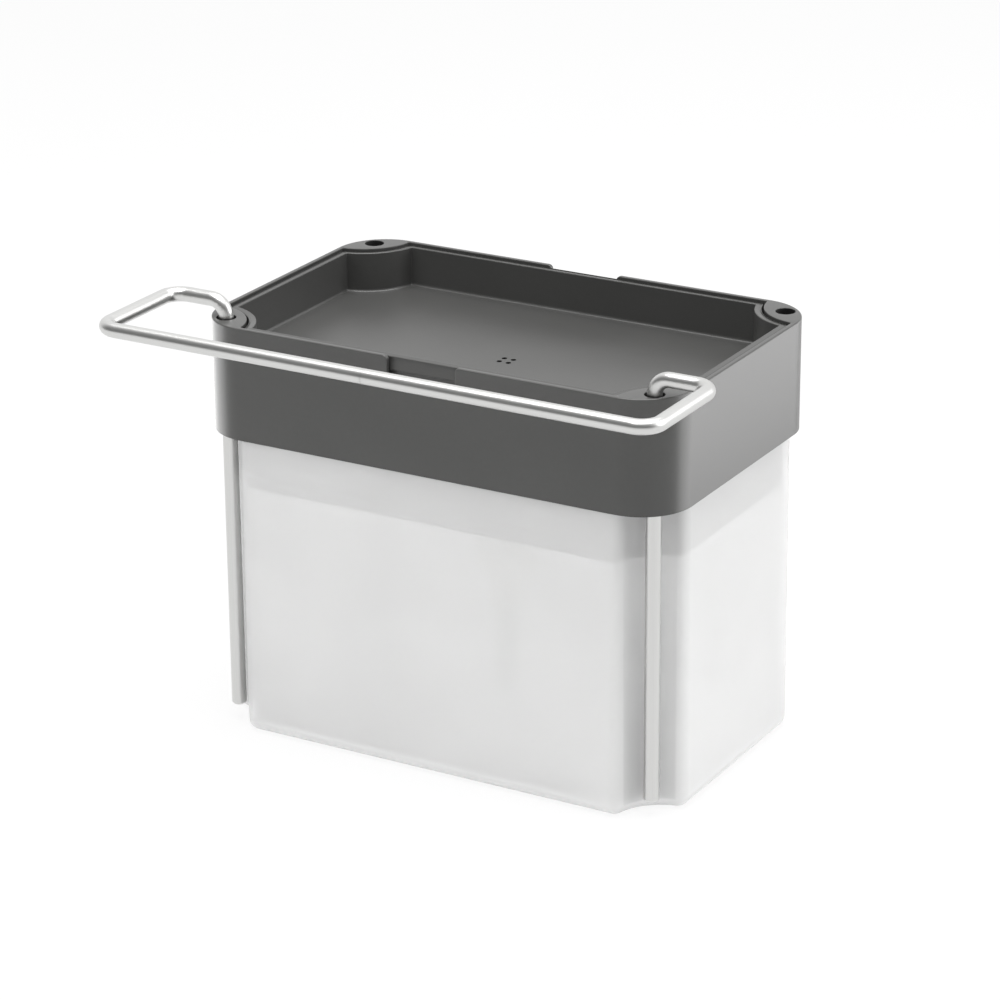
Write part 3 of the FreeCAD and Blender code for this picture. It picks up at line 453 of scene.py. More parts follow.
class PostedOutline:
    """Plan of a shell that is hollowed about the collar's corner posts, drawn in its +X +Y quarter."""

    LOBE_STEPS = 6
    HOLLOW_STEPS = 24
    LEAST_ROUNDING = 0.00015

    def __init__(self, half_x, half_y, reach, rounding):
        self.half_x = half_x
        self.half_y = half_y
        self.reach = reach
        self.rounding = max(rounding, self.LEAST_ROUNDING)
        self.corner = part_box("collar")[1].xy

    def inset(self, depth):
        """The same plan drawn in by a depth."""
        return PostedOutline(
            self.half_x - depth, self.half_y - depth, self.reach + depth, self.rounding - depth)

    def lobe_centres(self):
        """Centres of the roundings beside the right-hand side and beside the far side."""
        span = self.reach + self.rounding
        right_x = self.half_x - self.rounding
        far_y = self.half_y - self.rounding
        right_y = self.corner.y - math.sqrt(span ** 2 - (self.corner.x - right_x) ** 2)
        far_x = self.corner.x - math.sqrt(span ** 2 - (self.corner.y - far_y) ** 2)
        return Vector((right_x, right_y)), Vector((far_x, far_y))

    def start(self, bm, level):
        """Pen that has drawn from the middle of the right-hand side round the hollow to the far side."""
        right, far = self.lobe_centres()
        to_right = right - self.corner
        to_far = far - self.corner
        right_turn = math.atan2(-to_right.y, -to_right.x)
        far_turn = math.pi / 2 - math.atan2(-to_far.y, -to_far.x)
        hollow_turn = to_right.angle(to_far)
        pen = Pen(bm, (self.half_x, 0, level))
        pen.line((self.half_x, right.y, level))
        pen.arc(right.to_3d() + Vector((0, 0, level)), UP, right_turn, self.LOBE_STEPS)
        pen.arc(self.corner.to_3d() + Vector((0, 0, level)), UP, -hollow_turn, self.HOLLOW_STEPS)
        pen.arc(far.to_3d() + Vector((0, 0, level)), UP, far_turn, self.LOBE_STEPS)
        return pen

    def chain(self, bm, level):
        """Chain of the whole quarter at a level, from the right-hand side's middle to the far side's."""
        pen = self.start(bm, level)
        pen.line((0, self.half_y, level))
        return pen.edges


def chain_ends(chain):
    """The points on the mirror planes where a quarter's chain ends, that on the right-hand side first."""
    points = points_of(chain)
    on_right = [point for point in points if abs(point.co.y) < SEAM]
    on_far = [point for point in points if abs(point.co.x) < SEAM]
    return on_right[0], on_far[0]


def extrude_chain(bm, chain):
    """Copy a chain, with faces between, and give the copy's edges and points."""
    copied = bmesh.ops.extrude_edge_only(bm, edges=chain)["geom"]
    points = [item for item in copied if isinstance(item, bmesh.types.BMVert)]
    edges = [item for item in copied if isinstance(item, bmesh.types.BMEdge)]
    return [edge for edge in edges if all(point in points for point in edge.verts)], points


def loft(bm, chains):
    """Bands of faces from each chain to the next."""
    for first, second in zip(chains, chains[1:]):
        bmesh.ops.bridge_loops(bm, edges=first + second)


def join(bm, first, second):
    """Edge between two points."""
    return bmesh.ops.contextual_create(bm, geom=[first, second])["edges"]


def fill(bm, border):
    """Faces inside a border that may have holes."""
    bmesh.ops.triangle_fill(bm, use_beauty=True, use_dissolve=False, edges=border)


def cap_quarter(bm, chain):
    """Flat face from a quarter's chain to the piece's middle."""
    right, far = chain_ends(chain)
    middle = bm.verts.new((0, 0, right.co.z))
    border = chain + join(bm, right, middle) + join(bm, middle, far)
    bmesh.ops.contextual_create(bm, geom=border)


def mirror_piece(bm, axes="XY"):
    """Whole piece from its quarter, or from a half, closed and with its faces outwards."""
    for axis in axes:
        geometry = bm.verts[:] + bm.edges[:] + bm.faces[:]
        bmesh.ops.mirror(bm, geom=geometry, axis=axis, merge_dist=SEAM)
    bmesh.ops.remove_doubles(bm, verts=bm.verts[:], dist=SEAM)
    bmesh.ops.recalc_face_normals(bm, faces=bm.faces[:])


def rounding_steps(radius, steps):
    """Depths and heights along a quarter round that starts level and ends upright."""
    rounds = []
    for step in range(steps + 1):
        angle = math.pi / 2 * step / steps
        rounds.append((radius * (1 - math.sin(angle)), radius * (1 - math.cos(angle))))
    return rounds


def add_block(bm, low, high):
    """Closed box between two corners."""
    low = Vector(low)
    high = Vector(high)
    size = high - low
    place = Matrix.Translation((low + high) / 2) @ Matrix.Diagonal(size).to_4x4()
    bmesh.ops.create_cube(bm, size=1.0, matrix=place)


def line_bore(bm, mouths):
    """Join the two mouths of a deep bore and mark its wall for the painted shade that darkens it."""
    recess = bm.faces.layers.float.get("recess") or bm.faces.layers.float.new("recess")
    for face in bmesh.ops.bridge_loops(bm, edges=mouths)["faces"]:
        # Marks the bore's wall for the painted shade that darkens it.
        face[recess] = 1.0


def place_piece(bm, name, body, node, slot):
    """Object of a finished mesh that rides on a body and stands for a node."""
    if not bm.faces:
        raise RuntimeError("no faces were made for " + name)
    mesh = bpy.data.meshes.new(name)
    bm.to_mesh(mesh)
    bm.free()
    mesh.shade_smooth()
    mesh.set_sharp_from_angle(angle=CRISP_ANGLE)
    piece = bpy.data.objects.new(name, mesh)
    bpy.context.collection.objects.link(piece)
    mesh.materials.append(finish_named(slot))
    weighted = piece.modifiers.new("flat_face_normals", "WEIGHTED_NORMAL")
    weighted.keep_sharp = True
    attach(piece, body)
    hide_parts(node)
    return piece


def dress_node(node, finish):
    """Give a node of the frame a finish."""
    for slot in frame["nodes"][node].material_slots:
        slot.material = finish_named(finish)


def bore_mount():
    """The record's bore in the rear right post."""
    for mount in frame["record"]["mounts"]:
        if mount["name"] == "rear_right_bore":
            return mount
    raise RuntimeError("the record has no rear right bore")


class CADDY_OT_tank(bpy.types.Operator):
    """Model the frosted tank with its grooved corners and rounded base"""

    bl_idname = "caddy.tank"
    bl_label = "Tank"

    BASE_STEPS = 8
    RIM_STEPS = 3
    FLOOR_STEPS = 6
    # How far a point may lie from a groove's wall and still count as on it
    GROOVE_SLACK = 0.00002
    # Depth at which a groove's painted shade is darkest
    GROOVE_DEPTH = 0.007

    def execute(self, context):
        sizes = context.scene.caddy_sizes
        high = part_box("tank")[1]
        outside = PostedOutline(high.x, high.y, sizes.groove_reach, sizes.tank_lobe)
        inside = outside.inset(sizes.tank_wall)
        rim = sizes.tank_rim
        bm = bmesh.new()
        chains = []
        for depth, height in rounding_steps(sizes.tank_base, self.BASE_STEPS):
            chains.append(outside.inset(depth).chain(bm, height))
        for height, depth in reversed(rounding_steps(rim, self.RIM_STEPS)):
            chains.append(outside.inset(depth).chain(bm, high.z - height))
        for depth, height in rounding_steps(rim, self.RIM_STEPS):
            chains.append(inside.inset(-depth).chain(bm, high.z - height))
        for depth, height in reversed(rounding_steps(sizes.tank_inner_base, self.FLOOR_STEPS)):
            chains.append(inside.inset(depth).chain(bm, sizes.tank_floor + height))
        loft(bm, chains)
        cap_quarter(bm, chains[0])
        cap_quarter(bm, chains[-1])
        mirror_piece(bm)
        self.mark_grooves(bm, outside)
        place_piece(bm, "tank_moulding", "tank", "tank", "frosted_tank")
        return {"FINISHED"}

    @classmethod
    def mark_grooves(cls, bm, outline):
        """Mark how deep the points of the outer corner grooves lie, for the painted shade that greys them."""
        recess = bm.verts.layers.float.new("recess")
        for point in bm.verts:
            place = Vector((abs(point.co.x), abs(point.co.y)))
            if (place - outline.corner).length < outline.reach + cls.GROOVE_SLACK:
                depth = min(outline.half_x - place.x, outline.half_y - place.y)
                # Painted shade: the deeper a groove point lies, the greyer the tank is painted there.
                point[recess] = min(depth / cls.GROOVE_DEPTH, 1.0)


class CADDY_OT_collar(bpy.types.Operator):
    """Model the collar with its bored posts and finger notches, and finish the deck inside it"""

    bl_idname = "caddy.collar"
    bl_label = "Collar and Deck"

    CORNER_STEPS = 20
    NOTCH_STEPS = 6
    BORE_SIDES = 40
    OUTER_EDGE_STEPS = 4
    INNER_EDGE_STEPS = 2
    # How far a point may lie from the outer wall and still count as on it
    WALL_SLACK = 20 * SEAM

    def execute(self, context):
        sizes = context.scene.caddy_sizes
        low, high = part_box("collar")
        bm = bmesh.new()
        wall_y = high.y - sizes.collar_wall
        well = PostedOutline(high.x - sizes.collar_wall, wall_y, sizes.post_reach, sizes.post_lobe)
        notch_end = sizes.notch_width / 2 + sizes.notch_mouth

        def outer_pen(level):
            middle = Vector((high.x - sizes.collar_corner, high.y - sizes.collar_corner, level))
            pen = Pen(bm, (high.x, 0, level))
            pen.line((high.x, middle.y, level))
            pen.arc(middle, UP, math.pi / 2, self.CORNER_STEPS)
            pen.line((notch_end, high.y, level))
            return pen

        def inner_pen(level):
            pen = well.start(bm, level)
            pen.line((notch_end, wall_y, level))
            return pen

        def wall_with_notch(make_pen):
            """Wall of the quarter: its top, notch and bottom chains, and where these begin and end."""
            upper = make_pen(high.z)
            lower = make_pen(low.z)
            top = upper.take_edges()
            bottom = lower.take_edges()
            bmesh.ops.bridge_loops(bm, edges=top + bottom)
            y = upper.tip.co.y
            end_edges = [edge for edge in upper.tip.link_edges if lower.tip in edge.verts]
            top_end = upper.tip
            self.draw_notch(upper, sizes, high.z, y)
            notch = upper.take_edges()
            lower.line((0, y, low.z))
            bottom_end = lower.take_edges()
            closing = join(bm, upper.tip, lower.tip)
            bmesh.ops.contextual_create(bm, geom=end_edges + notch + closing + bottom_end)
            return {
                "top": top, "top_first": upper.first, "top_end": top_end, "notch": notch,
                "bottom": bottom + bottom_end, "bottom_first": lower.first, "bottom_end": lower.tip,
            }

        outer = wall_with_notch(outer_pen)
        inner = wall_with_notch(inner_pen)
        bmesh.ops.bridge_loops(bm, edges=outer["notch"] + inner["notch"])

        mount = bore_mount()
        bore_x, bore_y = mount["pos_m"][:2]
        bore_radius = mount["dims"]["r_mm"] / 1000
        mouths = []
        for level, side in ((high.z, "top"), (low.z, "bottom")):
            place = Matrix.Translation((bore_x, bore_y, level))
            circle = bmesh.ops.create_circle(
                bm, cap_ends=False, radius=bore_radius, segments=self.BORE_SIDES, matrix=place)
            mouth = edges_of(circle["verts"])
            border = outer[side] + inner[side] + mouth
            for end in ("first", "end"):
                border += self.edge_between(bm, outer[side + "_" + end], inner[side + "_" + end])
            fill(bm, border)
            mouths += mouth
        line_bore(bm, mouths)
        mirror_piece(bm)

        crisp = self.crisp_edges(bm, low.z)
        outer_edges = [edge for edge in crisp if self.on_outside(edge, high, sizes.collar_corner)]
        self.round_edges(bm, outer_edges, sizes.collar_edge, self.OUTER_EDGE_STEPS)
        self.round_edges(bm, self.crisp_edges(bm, low.z), sizes.collar_inner_edge, self.INNER_EDGE_STEPS)
        self.add_stops(bm, sizes, high.x - sizes.collar_wall, wall_y)
        place_piece(bm, "collar_moulding", "lid", "collar", "grey_plastic")
        dress_node("deck", "lid_plastic")
        return {"FINISHED"}

    @staticmethod
    def add_stops(bm, sizes, wall_x, wall_y):
        """Short ribs inside the walls, which bear on the top of the deck."""
        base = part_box("deck")[1].z
        half = sizes.stop_length / 2
        reach = sizes.stop_depth
        sink = sizes.collar_wall / 2
        top = base + sizes.stop_height
        for side in (-1, 1):
            near, far = sorted((side * (wall_y - reach), side * (wall_y + sink)))
            for middle in (-sizes.stop_spacing / 2, sizes.stop_spacing / 2):
                add_block(bm, (middle - half, near, base), (middle + half, far, top))
            near, far = sorted((side * (wall_x - reach), side * (wall_x + sink)))
            add_block(bm, (near, -half, base), (far, half, top))

    @classmethod
    def draw_notch(cls, pen, sizes, top, y):
        """Draw half of a finger notch from its mouth to the middle of its floor."""
        half = sizes.notch_width / 2
        mouth = sizes.notch_mouth
        foot = sizes.notch_foot
        floor = top - sizes.notch_depth
        pen.arc((half + mouth, y, top - mouth), (0, 1, 0), -math.pi / 2, cls.NOTCH_STEPS)
        pen.line((half, y, floor + foot))
        pen.arc((half - foot, y, floor + foot), (0, 1, 0), math.pi / 2, cls.NOTCH_STEPS)
        pen.line((0, y, floor))

    @staticmethod
    def edge_between(bm, first, second):
        """The edge between two points, drawn if there is none yet."""
        there = [edge for edge in first.link_edges if second in edge.verts]
        return there or join(bm, first, second)

    @staticmethod
    def crisp_edges(bm, base):
        """Sharp edges above the collar's base."""
        found = []
        for edge in bm.edges:
            above = min(point.co.z for point in edge.verts) > base + SEAM
            if above and len(edge.link_faces) == 2 and edge.calc_face_angle() > CRISP_ANGLE:
                found.append(edge)
        return found

    @classmethod
    def on_outside(cls, edge, high, corner):
        """Whether both ends of an edge lie on the collar's outer wall."""
        for point in edge.verts:
            past_x = abs(point.co.x) - high.x + corner
            past_y = abs(point.co.y) - high.y + corner
            reach = math.hypot(max(past_x, 0), max(past_y, 0))
            if abs(reach - corner) > cls.WALL_SLACK:
                return False
        return True

    @staticmethod
    def round_edges(bm, edges, radius, steps):
        """Round a set of edges."""
        bmesh.ops.bevel(
            bm, geom=edges, offset=radius, offset_type="OFFSET", affect="EDGES", segments=steps, profile=0.5,
            material=-1)


class CADDY_OT_tray(bpy.types.Operator):
    """Model the sponge tray with its lip, dished floor, soap outlets and the spigot and ribs below"""

    bl_idname = "caddy.tray"
    bl_label = "Sponge Tray"

    # Each ring of the floor's faces as a share of the ring outside it
    FLOOR_SHARES = (0.88, 0.82, 0.76, 0.66, 0.5, 0.45)
    UNDERSIDE_SHARES = (0.7, 0.5, 0.45)
    EDGE_STEPS = 3
    FILLET_STEPS = 5
    OUTLET_SIDES = 20
    SPIGOT_STEPS = 12
    RING_STEPS = 48

    def execute(self, context):
        sizes = context.scene.caddy_sizes
        low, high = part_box("tray")
        edge = sizes.tray_edge
        lip = PostedOutline(high.x, high.y, sizes.tray_reach, sizes.tray_lobe)
        wall = lip.inset(sizes.tray_overhang)
        well = lip.inset(sizes.tray_rim)
        well.rounding = edge
        lip_bottom = high.z - sizes.tray_lip
        floor = high.z - sizes.tray_depth
        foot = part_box("pump_head")[1].z
        fillet = sizes.tray_fillet
        bm = bmesh.new()

        def sag(points):
            """Lower points of the floor by the dish."""
            for point in points:
                share_x = 1 - min(abs(point.co.x) / well.half_x, 1.0) ** 2
                share_y = 1 - min(abs(point.co.y) / well.half_y, 1.0) ** 2
                bmesh.ops.translate(bm, verts=[point], vec=(0, 0, -sizes.tray_dish * share_x * share_y))

        def floor_chains(chain, shares, level):
            """Chains of the dished floor, each a smaller copy of the one before."""
            chains = []
            for share in shares:
                chain, new_points = extrude_chain(bm, chain)
                bmesh.ops.scale(bm, verts=new_points, vec=(share, share, 1))
                for point in new_points:
                    bmesh.ops.translate(bm, verts=[point], vec=(0, 0, level - point.co.z))
                sag(new_points)
                chains.append(chain)
            return chains

        pocket_top = well.chain(bm, floor - sizes.tray_floor)
        chains = [pocket_top, well.chain(bm, foot), wall.chain(bm, foot), wall.chain(bm, lip_bottom)]
        for depth, height in rounding_steps(edge, self.EDGE_STEPS):
            chains.append(lip.inset(depth).chain(bm, lip_bottom + height))
        for height, depth in reversed(rounding_steps(edge, self.EDGE_STEPS)):
            chains.append(lip.inset(depth).chain(bm, high.z - height))
        for depth, height in rounding_steps(edge, self.EDGE_STEPS):
            chains.append(well.inset(-depth).chain(bm, high.z - height))
        for depth, height in reversed(rounding_steps(fillet, self.FILLET_STEPS)):
            chain = well.inset(depth).chain(bm, floor + height)
            sag(points_of(chain))
            chains.append(chain)
        loft(bm, chains)
        sag(points_of(pocket_top))
        floor_middle = floor_chains(chains[-1], self.FLOOR_SHARES, floor)[-1]
        under_middle = floor_chains(pocket_top, self.UNDERSIDE_SHARES, floor - sizes.tray_floor)[-1]
        self.open_outlet(bm, sizes, floor_middle, under_middle, floor, low.z)
        mirror_piece(bm)
        self.add_ribs(bm, sizes, well, foot, floor)
        place_piece(bm, "tray_moulding", "tray", "tray", "grey_plastic")
        return {"FINISHED"}

    @classmethod
    def open_outlet(cls, bm, sizes, floor_middle, under_middle, floor, spigot_end):
        """Close the middle of the floor with a soap outlet in it, and hang the hollow spigot below."""
        deepest = floor - sizes.tray_dish
        web_bottom = deepest - sizes.outlet_web
        under = deepest - sizes.tray_floor
        spigot_radius = sizes.spigot_width / 2
        bore_radius = sizes.spigot_bore / 2
        outlet = sizes.outlet_pitch / 2

        def mouth(height):
            place = Matrix.Translation((outlet, outlet, height))
            circle = bmesh.ops.create_circle(
                bm, cap_ends=False, radius=sizes.outlet_width / 2, segments=cls.OUTLET_SIDES, matrix=place)
            return edges_of(circle["verts"])

        def quarter(radius, height):
            pen = Pen(bm, (radius, 0, height))
            pen.arc((0, 0, height), UP, math.pi / 2, cls.SPIGOT_STEPS)
            return pen.edges

        def close_to_middle(chain, hole, height):
            right, far = chain_ends(chain)
            middle = bm.verts.new((0, 0, height))
            border = chain + hole + join(bm, right, middle) + join(bm, middle, far)
            fill(bm, border)

        upper_mouth = mouth(deepest)
        lower_mouth = mouth(web_bottom)
        close_to_middle(floor_middle, upper_mouth, deepest)
        line_bore(bm, upper_mouth + lower_mouth)
        bore_top = quarter(bore_radius, web_bottom)
        close_to_middle(bore_top, lower_mouth, web_bottom)
        spigot_top = quarter(spigot_radius, under)
        loft(bm, [bore_top, quarter(bore_radius, spigot_end), quarter(spigot_radius, spigot_end), spigot_top])
        border = under_middle + spigot_top
        for first, second in zip(chain_ends(under_middle), chain_ends(spigot_top)):
            border += join(bm, first, second)
        fill(bm, border)

    @classmethod
    def add_ribs(cls, bm, sizes, well, foot, floor):
        """Ribs and a ring under the floor."""
        half = sizes.rib_width / 2
        rib_top = floor - sizes.rib_sink
        ring_top = rib_top - sizes.ring_drop
        ring_radius = sizes.ring_width / 2
        for side in (-sizes.rib_spread / 2, sizes.rib_spread / 2):
            add_block(bm, (side - half, -well.half_y, foot), (side + half, well.half_y, rib_top))
        for side in (-sizes.rib_spacing / 2, sizes.rib_spacing / 2):
            add_block(bm, (-well.half_x, side - half, foot), (well.half_x, side + half, rib_top))
        pen = Pen(bm, (ring_radius - half, 0, foot))
        pen.line((ring_radius + half, 0, foot))
        pen.line((ring_radius + half, 0, ring_top))
        pen.line((ring_radius - half, 0, ring_top))
        section = pen.edges + join(bm, pen.tip, pen.first)
        known = set(bm.faces)
        section += points_of(section)
        bmesh.ops.spin(
            bm, geom=section, cent=(0, 0, 0), axis=UP, angle=2 * math.pi, steps=cls.RING_STEPS, use_merge=True)
        bmesh.ops.recalc_face_normals(bm, faces=[face for face in bm.faces if face not in known])


class Wire:
    """Round wire that is drawn by extruding and spinning its last ring, with its own run along it."""

    SIDES = 28

    def __init__(self, bm, radius, place):
        self.bm = bm
        self.run = bm.verts.layers.float_vector.new("wire")
        circle = bmesh.ops.create_circle(bm, cap_ends=True, radius=radius, segments=self.SIDES, matrix=place)
        points = circle["verts"]
        self.ring = edges_of(points)
        middle = place.translation
        across = place.to_3x3() @ Vector((1, 0, 0))
        aside = place.to_3x3() @ Vector((0, 1, 0))
        for point in points:
            out = point.co - middle
            point[self.run] = (out.dot(across) / radius, out.dot(aside) / radius, 0)

    def points(self):
        """Points of the last ring."""
        return points_of(self.ring)

    def advance(self, distance):
        """Count a distance along the wire on the last ring."""
        for point in self.points():
            point[self.run] = point[self.run] + Vector((0, 0, distance))

    def straight(self, step):
        """Straight run."""
        self.ring, new_points = extrude_chain(self.bm, self.ring)
        bmesh.ops.translate(self.bm, verts=new_points, vec=step)
        self.advance(Vector(step).length)

    def swell(self, centre, factor):
        """Widen or narrow the last ring about its centre."""
        space = Matrix.Translation(-Vector(centre))
        bmesh.ops.scale(self.bm, verts=self.points(), vec=(factor, factor, factor), space=space)

    def bend(self, centre, axis, angle, steps, radius, climb=0.0):
        """Bend about an axis, which may climb along it at each step."""
        for _ in range(steps):
            drawn = bmesh.ops.spin(
                self.bm, geom=self.ring + self.points(), cent=centre, axis=axis, angle=angle / steps, steps=1,
                dvec=Vector(axis) * climb, use_merge=False)
            self.ring = [item for item in drawn["geom_last"] if isinstance(item, bmesh.types.BMEdge)]
            self.advance(abs(angle) / steps * radius)

    def close(self):
        """Close the last ring."""
        bmesh.ops.contextual_create(self.bm, geom=self.ring)


class CADDY_OT_towel_rail(bpy.types.Operator):
    """Model the towel rail as one bent wire"""

    bl_idname = "caddy.towel_rail"
    bl_label = "Towel Rail"

    BEND_STEPS = 14

    def execute(self, context):
        sizes = context.scene.caddy_sizes
        low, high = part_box("towel_rail")
        radius = sizes.rail_wire / 2
        chamfer = sizes.rail_chamfer
        leg_x, rear_y = bore_mount()["pos_m"][:2]
        leg_y = -rear_y
        level = high.z - radius
        arm_x = high.x - radius
        bar_y = low.y + radius
        rise = sizes.rail_rise
        bend = sizes.rail_bend
        quarter = math.pi / 2
        bm = bmesh.new()
        foot = Vector((leg_x, leg_y, low.z))
        wire = Wire(bm, radius - chamfer, Matrix.Translation(foot))
        wire.straight((0, 0, chamfer))
        wire.swell(foot, radius / (radius - chamfer))
        wire.straight((0, 0, level - rise - low.z - chamfer))
        wire.bend((leg_x + rise, leg_y, level - rise), (0, 1, 0), quarter, self.BEND_STEPS, rise)
        wire.straight((arm_x - bend - leg_x - rise, 0, 0))
        wire.bend((arm_x - bend, leg_y - bend, level), UP, -quarter, self.BEND_STEPS, bend)
        wire.straight((0, bar_y + bend - leg_y + bend, 0))
        wire.bend((arm_x - bend, bar_y + bend, level), UP, -quarter, self.BEND_STEPS, bend)
        wire.straight((bend - arm_x, 0, 0))
        mirror_piece(bm, "X")
        place_piece(bm, "rail_wire", "towel_rail", "towel_rail", "rail_steel")
        return {"FINISHED"}


class CADDY_OT_return_spring(bpy.types.Operator):
    """Model the return spring; how far it would shorten over the pump's stroke is worked out but not applied
    """

    bl_idname = "caddy.return_spring"
    bl_label = "Return Spring"

    STEPS_PER_TURN = 40

    def execute(self, context):
        sizes = context.scene.caddy_sizes
        low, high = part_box("return_spring")
        radius = sizes.spring_wire / 2
        coil = high.x - radius
        steps = self.STEPS_PER_TURN * sizes.spring_turns
        climb = (high.z - low.z - sizes.spring_wire) / steps
        bm = bmesh.new()
        start = Matrix.Translation((coil, 0, low.z + radius)) @ Matrix.Rotation(math.pi / 2, 4, "X")
        wire = Wire(bm, radius, start)
        wire.bend((0, 0, 0), UP, 2 * math.pi * sizes.spring_turns, steps, coil, climb)
        wire.close()
        bmesh.ops.recalc_face_normals(bm, faces=bm.faces[:])
        piece = place_piece(bm, "spring_coil", "lid", "return_spring", "spring_steel")
        joints = frame["record"]["behaviour"]["joints"]
        stroke = next(joint for joint in joints if joint["name"] == "pump_stroke")
        keep = 1 - stroke["range_m"][1] / (high.z - low.z)
        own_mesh(piece)
        return {"FINISHED"}


class CADDY_OT_pump(bpy.types.Operator):
    """Finish the pieces of the hand pump"""

    bl_idname = "caddy.pump"
    bl_label = "Hand Pump"

    def execute(self, context):
        for slot, nodes in PUMP_NODES.items():
            for node in nodes:
                dress_node(node, "ball_steel" if slot == "spring_steel" else slot)
        return {"FINISHED"}


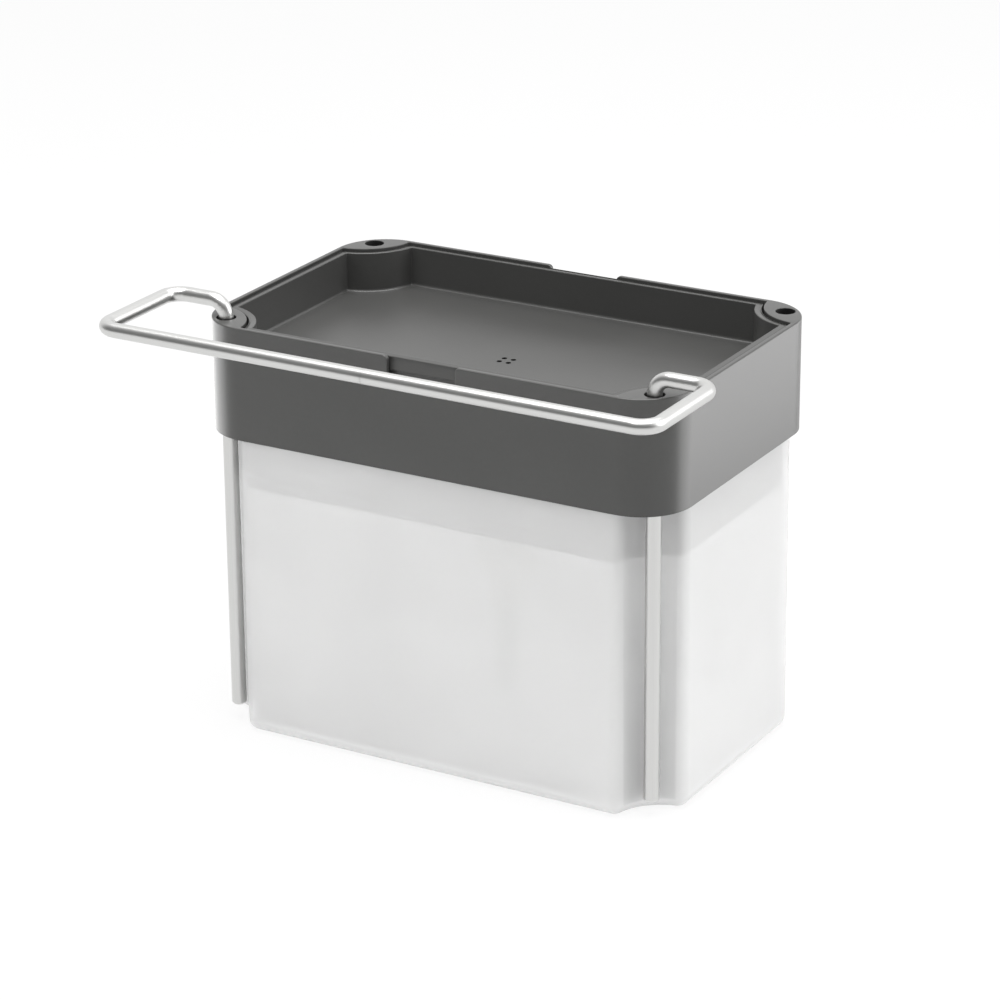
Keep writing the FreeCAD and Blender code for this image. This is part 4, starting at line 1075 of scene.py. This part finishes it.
class CADDY_OT_stage(bpy.types.Operator):
    """Set the camera, the floor and the studio light"""

    bl_idname = "caddy.stage"
    bl_label = "Stage"

    FLOOR_HALF = 6.0
    # Where the studio turns from dim to bright, as shares of the way to the rear and up
    BEHIND = (-0.45, 0.35)
    ABOVE = (0.1, 0.9)
    # Brightness overhead in front, as a share of that behind
    ABOVE_SHARE = 0.6

    def execute(self, context):
        stage = context.scene.caddy_stage
        self.set_camera(context, stage)
        self.lay_floor(stage)
        self.light_world(context, stage)
        self.hang_softbox("top_softbox", (0.05, -0.05, 1.10), (0.0, 0.0, 0.08), size=(1.0, 0.8), power=16.0)
        front = self.hang_softbox(
            "front_softbox", (-0.75, -0.85, 0.70), (0.0, 0.0, 0.07), size=(0.6, 0.5), power=3.9)
        front.visible_glossy = False
        self.hang_softbox("right_softbox", (0.80, 0.40, 0.45), (0.03, 0.0, 0.07), size=(0.8, 0.6), power=3.6)
        right = self.hang_softbox(
            "right_reflector", (0.172, 0.22, 0.055), (0.0, 0.22, 0.055), size=(0.44, 0.108), power=0.40)
        left = self.hang_softbox(
            "left_reflector", (-0.19, 0.08, 0.055), (0.0, 0.08, 0.055), size=(0.34, 0.108), power=0.26)
        for reflector in (right, left):
            self.limit_to_gloss(reflector, ("collar_moulding",))
        context.scene.view_settings.view_transform = "Standard"
        return {"FINISHED"}

    @staticmethod
    def set_camera(context, stage):
        """Camera at the photograph's viewing angle."""
        level = math.cos(stage.camera_elevation)
        back = Vector((
            math.sin(stage.camera_azimuth) * level, -math.cos(stage.camera_azimuth) * level,
            math.sin(stage.camera_elevation)))
        camera = bpy.data.objects.new("camera", bpy.data.cameras.new("camera"))
        camera.data.lens = stage.camera_lens
        camera.data.sensor_width = 36.0
        camera.data.clip_start = 0.01
        camera.data.clip_end = 50.0
        camera.location = Vector(stage.camera_aim) + back * stage.camera_distance
        look = (-back).to_track_quat("-Z", "Y")
        camera.rotation_mode = "QUATERNION"
        camera.rotation_quaternion = look @ Quaternion(UP, stage.camera_roll)
        context.collection.objects.link(camera)
        context.scene.camera = camera

    @classmethod
    def lay_floor(cls, stage):
        """Pale floor that is white to the camera and to mirrors, and keeps a soft shadow."""
        bm = bmesh.new()
        bmesh.ops.create_grid(bm, x_segments=1, y_segments=1, size=cls.FLOOR_HALF)
        mesh = bpy.data.meshes.new("studio_floor")
        bm.to_mesh(mesh)
        bm.free()
        floor = bpy.data.objects.new("studio_floor", mesh)
        bpy.context.collection.objects.link(floor)
        material, tree = new_finish("studio_floor_paint")
        seen, mirrored, through = tree.rays()
        matt = tree.add("ShaderNodeBsdfDiffuse", None, {"Color": tuple(stage.floor_colour) + (1.0,)})
        white = tree.add("ShaderNodeEmission", None, {"Color": (1, 1, 1, 1), "Strength": 1.0})
        share = stage.floor_white * (seen + mirrored + through)
        surface = tree.add("ShaderNodeMixShader", None, {0: share, 1: matt, 2: white})
        tree.add("ShaderNodeOutputMaterial", None, {"Surface": surface})
        mesh.materials.append(material)

    @classmethod
    def light_world(cls, context, stage):
        """Studio that is bright behind the object and dim in front of it."""
        world = bpy.data.worlds.new("studio")
        world.use_nodes = True
        context.scene.world = world
        tree = ShaderTree(world.node_tree)
        ray = tree.add("ShaderNodeTexCoord", output="Generated")
        depth = tree.add("ShaderNodeSeparateXYZ", None, {"Vector": ray}, output="Y")
        height = tree.add("ShaderNodeSeparateXYZ", None, {"Vector": ray}, output="Z")
        behind = tree.ease(depth, *cls.BEHIND)
        above = tree.ease(height, *cls.ABOVE)
        bright = behind + cls.ABOVE_SHARE * above * (1 - behind)
        light = stage.room_level + (stage.sky_level - stage.room_level) * bright
        seen, mirrored, through = tree.rays()
        white = seen + behind * (mirrored + through)
        strength = light + white * (1 - light)
        background = tree.add("ShaderNodeBackground", None, {"Color": (1, 1, 1, 1), "Strength": strength})
        tree.add("ShaderNodeOutputWorld", None, {"Surface": background})

    @staticmethod
    def hang_softbox(name, place, aim, size, power):
        """Soft rectangular lamp."""
        lamp = bpy.data.lights.new(name, "AREA")
        lamp.shape = "RECTANGLE"
        lamp.size = size[0]
        lamp.size_y = size[1]
        lamp.energy = power
        softbox = bpy.data.objects.new(name, lamp)
        softbox.location = place
        direction = Vector(aim) - Vector(place)
        softbox.rotation_mode = "QUATERNION"
        softbox.rotation_quaternion = direction.to_track_quat("-Z", "Y")
        bpy.context.collection.objects.link(softbox)
        return softbox

    @staticmethod
    def limit_to_gloss(softbox, pieces):
        """Let a softbox show only as gloss on some pieces."""
        receivers = bpy.data.collections.new(softbox.name + "_receivers")
        for piece in pieces:
            receivers.objects.link(bpy.data.objects[piece])
        softbox.light_linking.receiver_collection = receivers
        softbox.visible_camera = False
        softbox.visible_diffuse = False
        softbox.visible_transmission = False


OPERATORS = (
    CADDY_OT_tank,
    CADDY_OT_collar,
    CADDY_OT_tray,
    CADDY_OT_towel_rail,
    CADDY_OT_return_spring,
    CADDY_OT_pump,
    CADDY_OT_stage,
)


class CADDY_PT_sidebar(bpy.types.Panel):
    """Sidebar panel of the caddy"""

    bl_idname = "CADDY_PT_sidebar"
    bl_label = "Soap Pump Caddy"
    bl_space_type = "VIEW_3D"
    bl_region_type = "UI"
    bl_category = "Caddy"

    def draw(self, context):
        layout = self.layout
        for operator in OPERATORS:
            layout.operator(operator.bl_idname)
        for group in (context.scene.caddy_sizes, context.scene.caddy_finish, context.scene.caddy_stage):
            box = layout.box()
            for name in group.__annotations__:
                box.prop(group, name)


CLASSES = (CaddySizes, CaddyFinish, CaddyStage) + OPERATORS + (CADDY_PT_sidebar,)


def register():
    for item in CLASSES:
        bpy.utils.register_class(item)
    bpy.types.Scene.caddy_sizes = PointerProperty(type=CaddySizes)
    bpy.types.Scene.caddy_finish = PointerProperty(type=CaddyFinish)
    bpy.types.Scene.caddy_stage = PointerProperty(type=CaddyStage)


def unregister():
    del bpy.types.Scene.caddy_stage
    del bpy.types.Scene.caddy_finish
    del bpy.types.Scene.caddy_sizes
    for item in reversed(CLASSES):
        bpy.utils.unregister_class(item)


def main():
    register()
    bpy.ops.caddy.tank()
    bpy.ops.caddy.collar()
    bpy.ops.caddy.tray()
    bpy.ops.caddy.towel_rail()
    bpy.ops.caddy.return_spring()
    bpy.ops.caddy.pump()
    bpy.ops.caddy.stage()


if __name__ == "__main__":
    main()
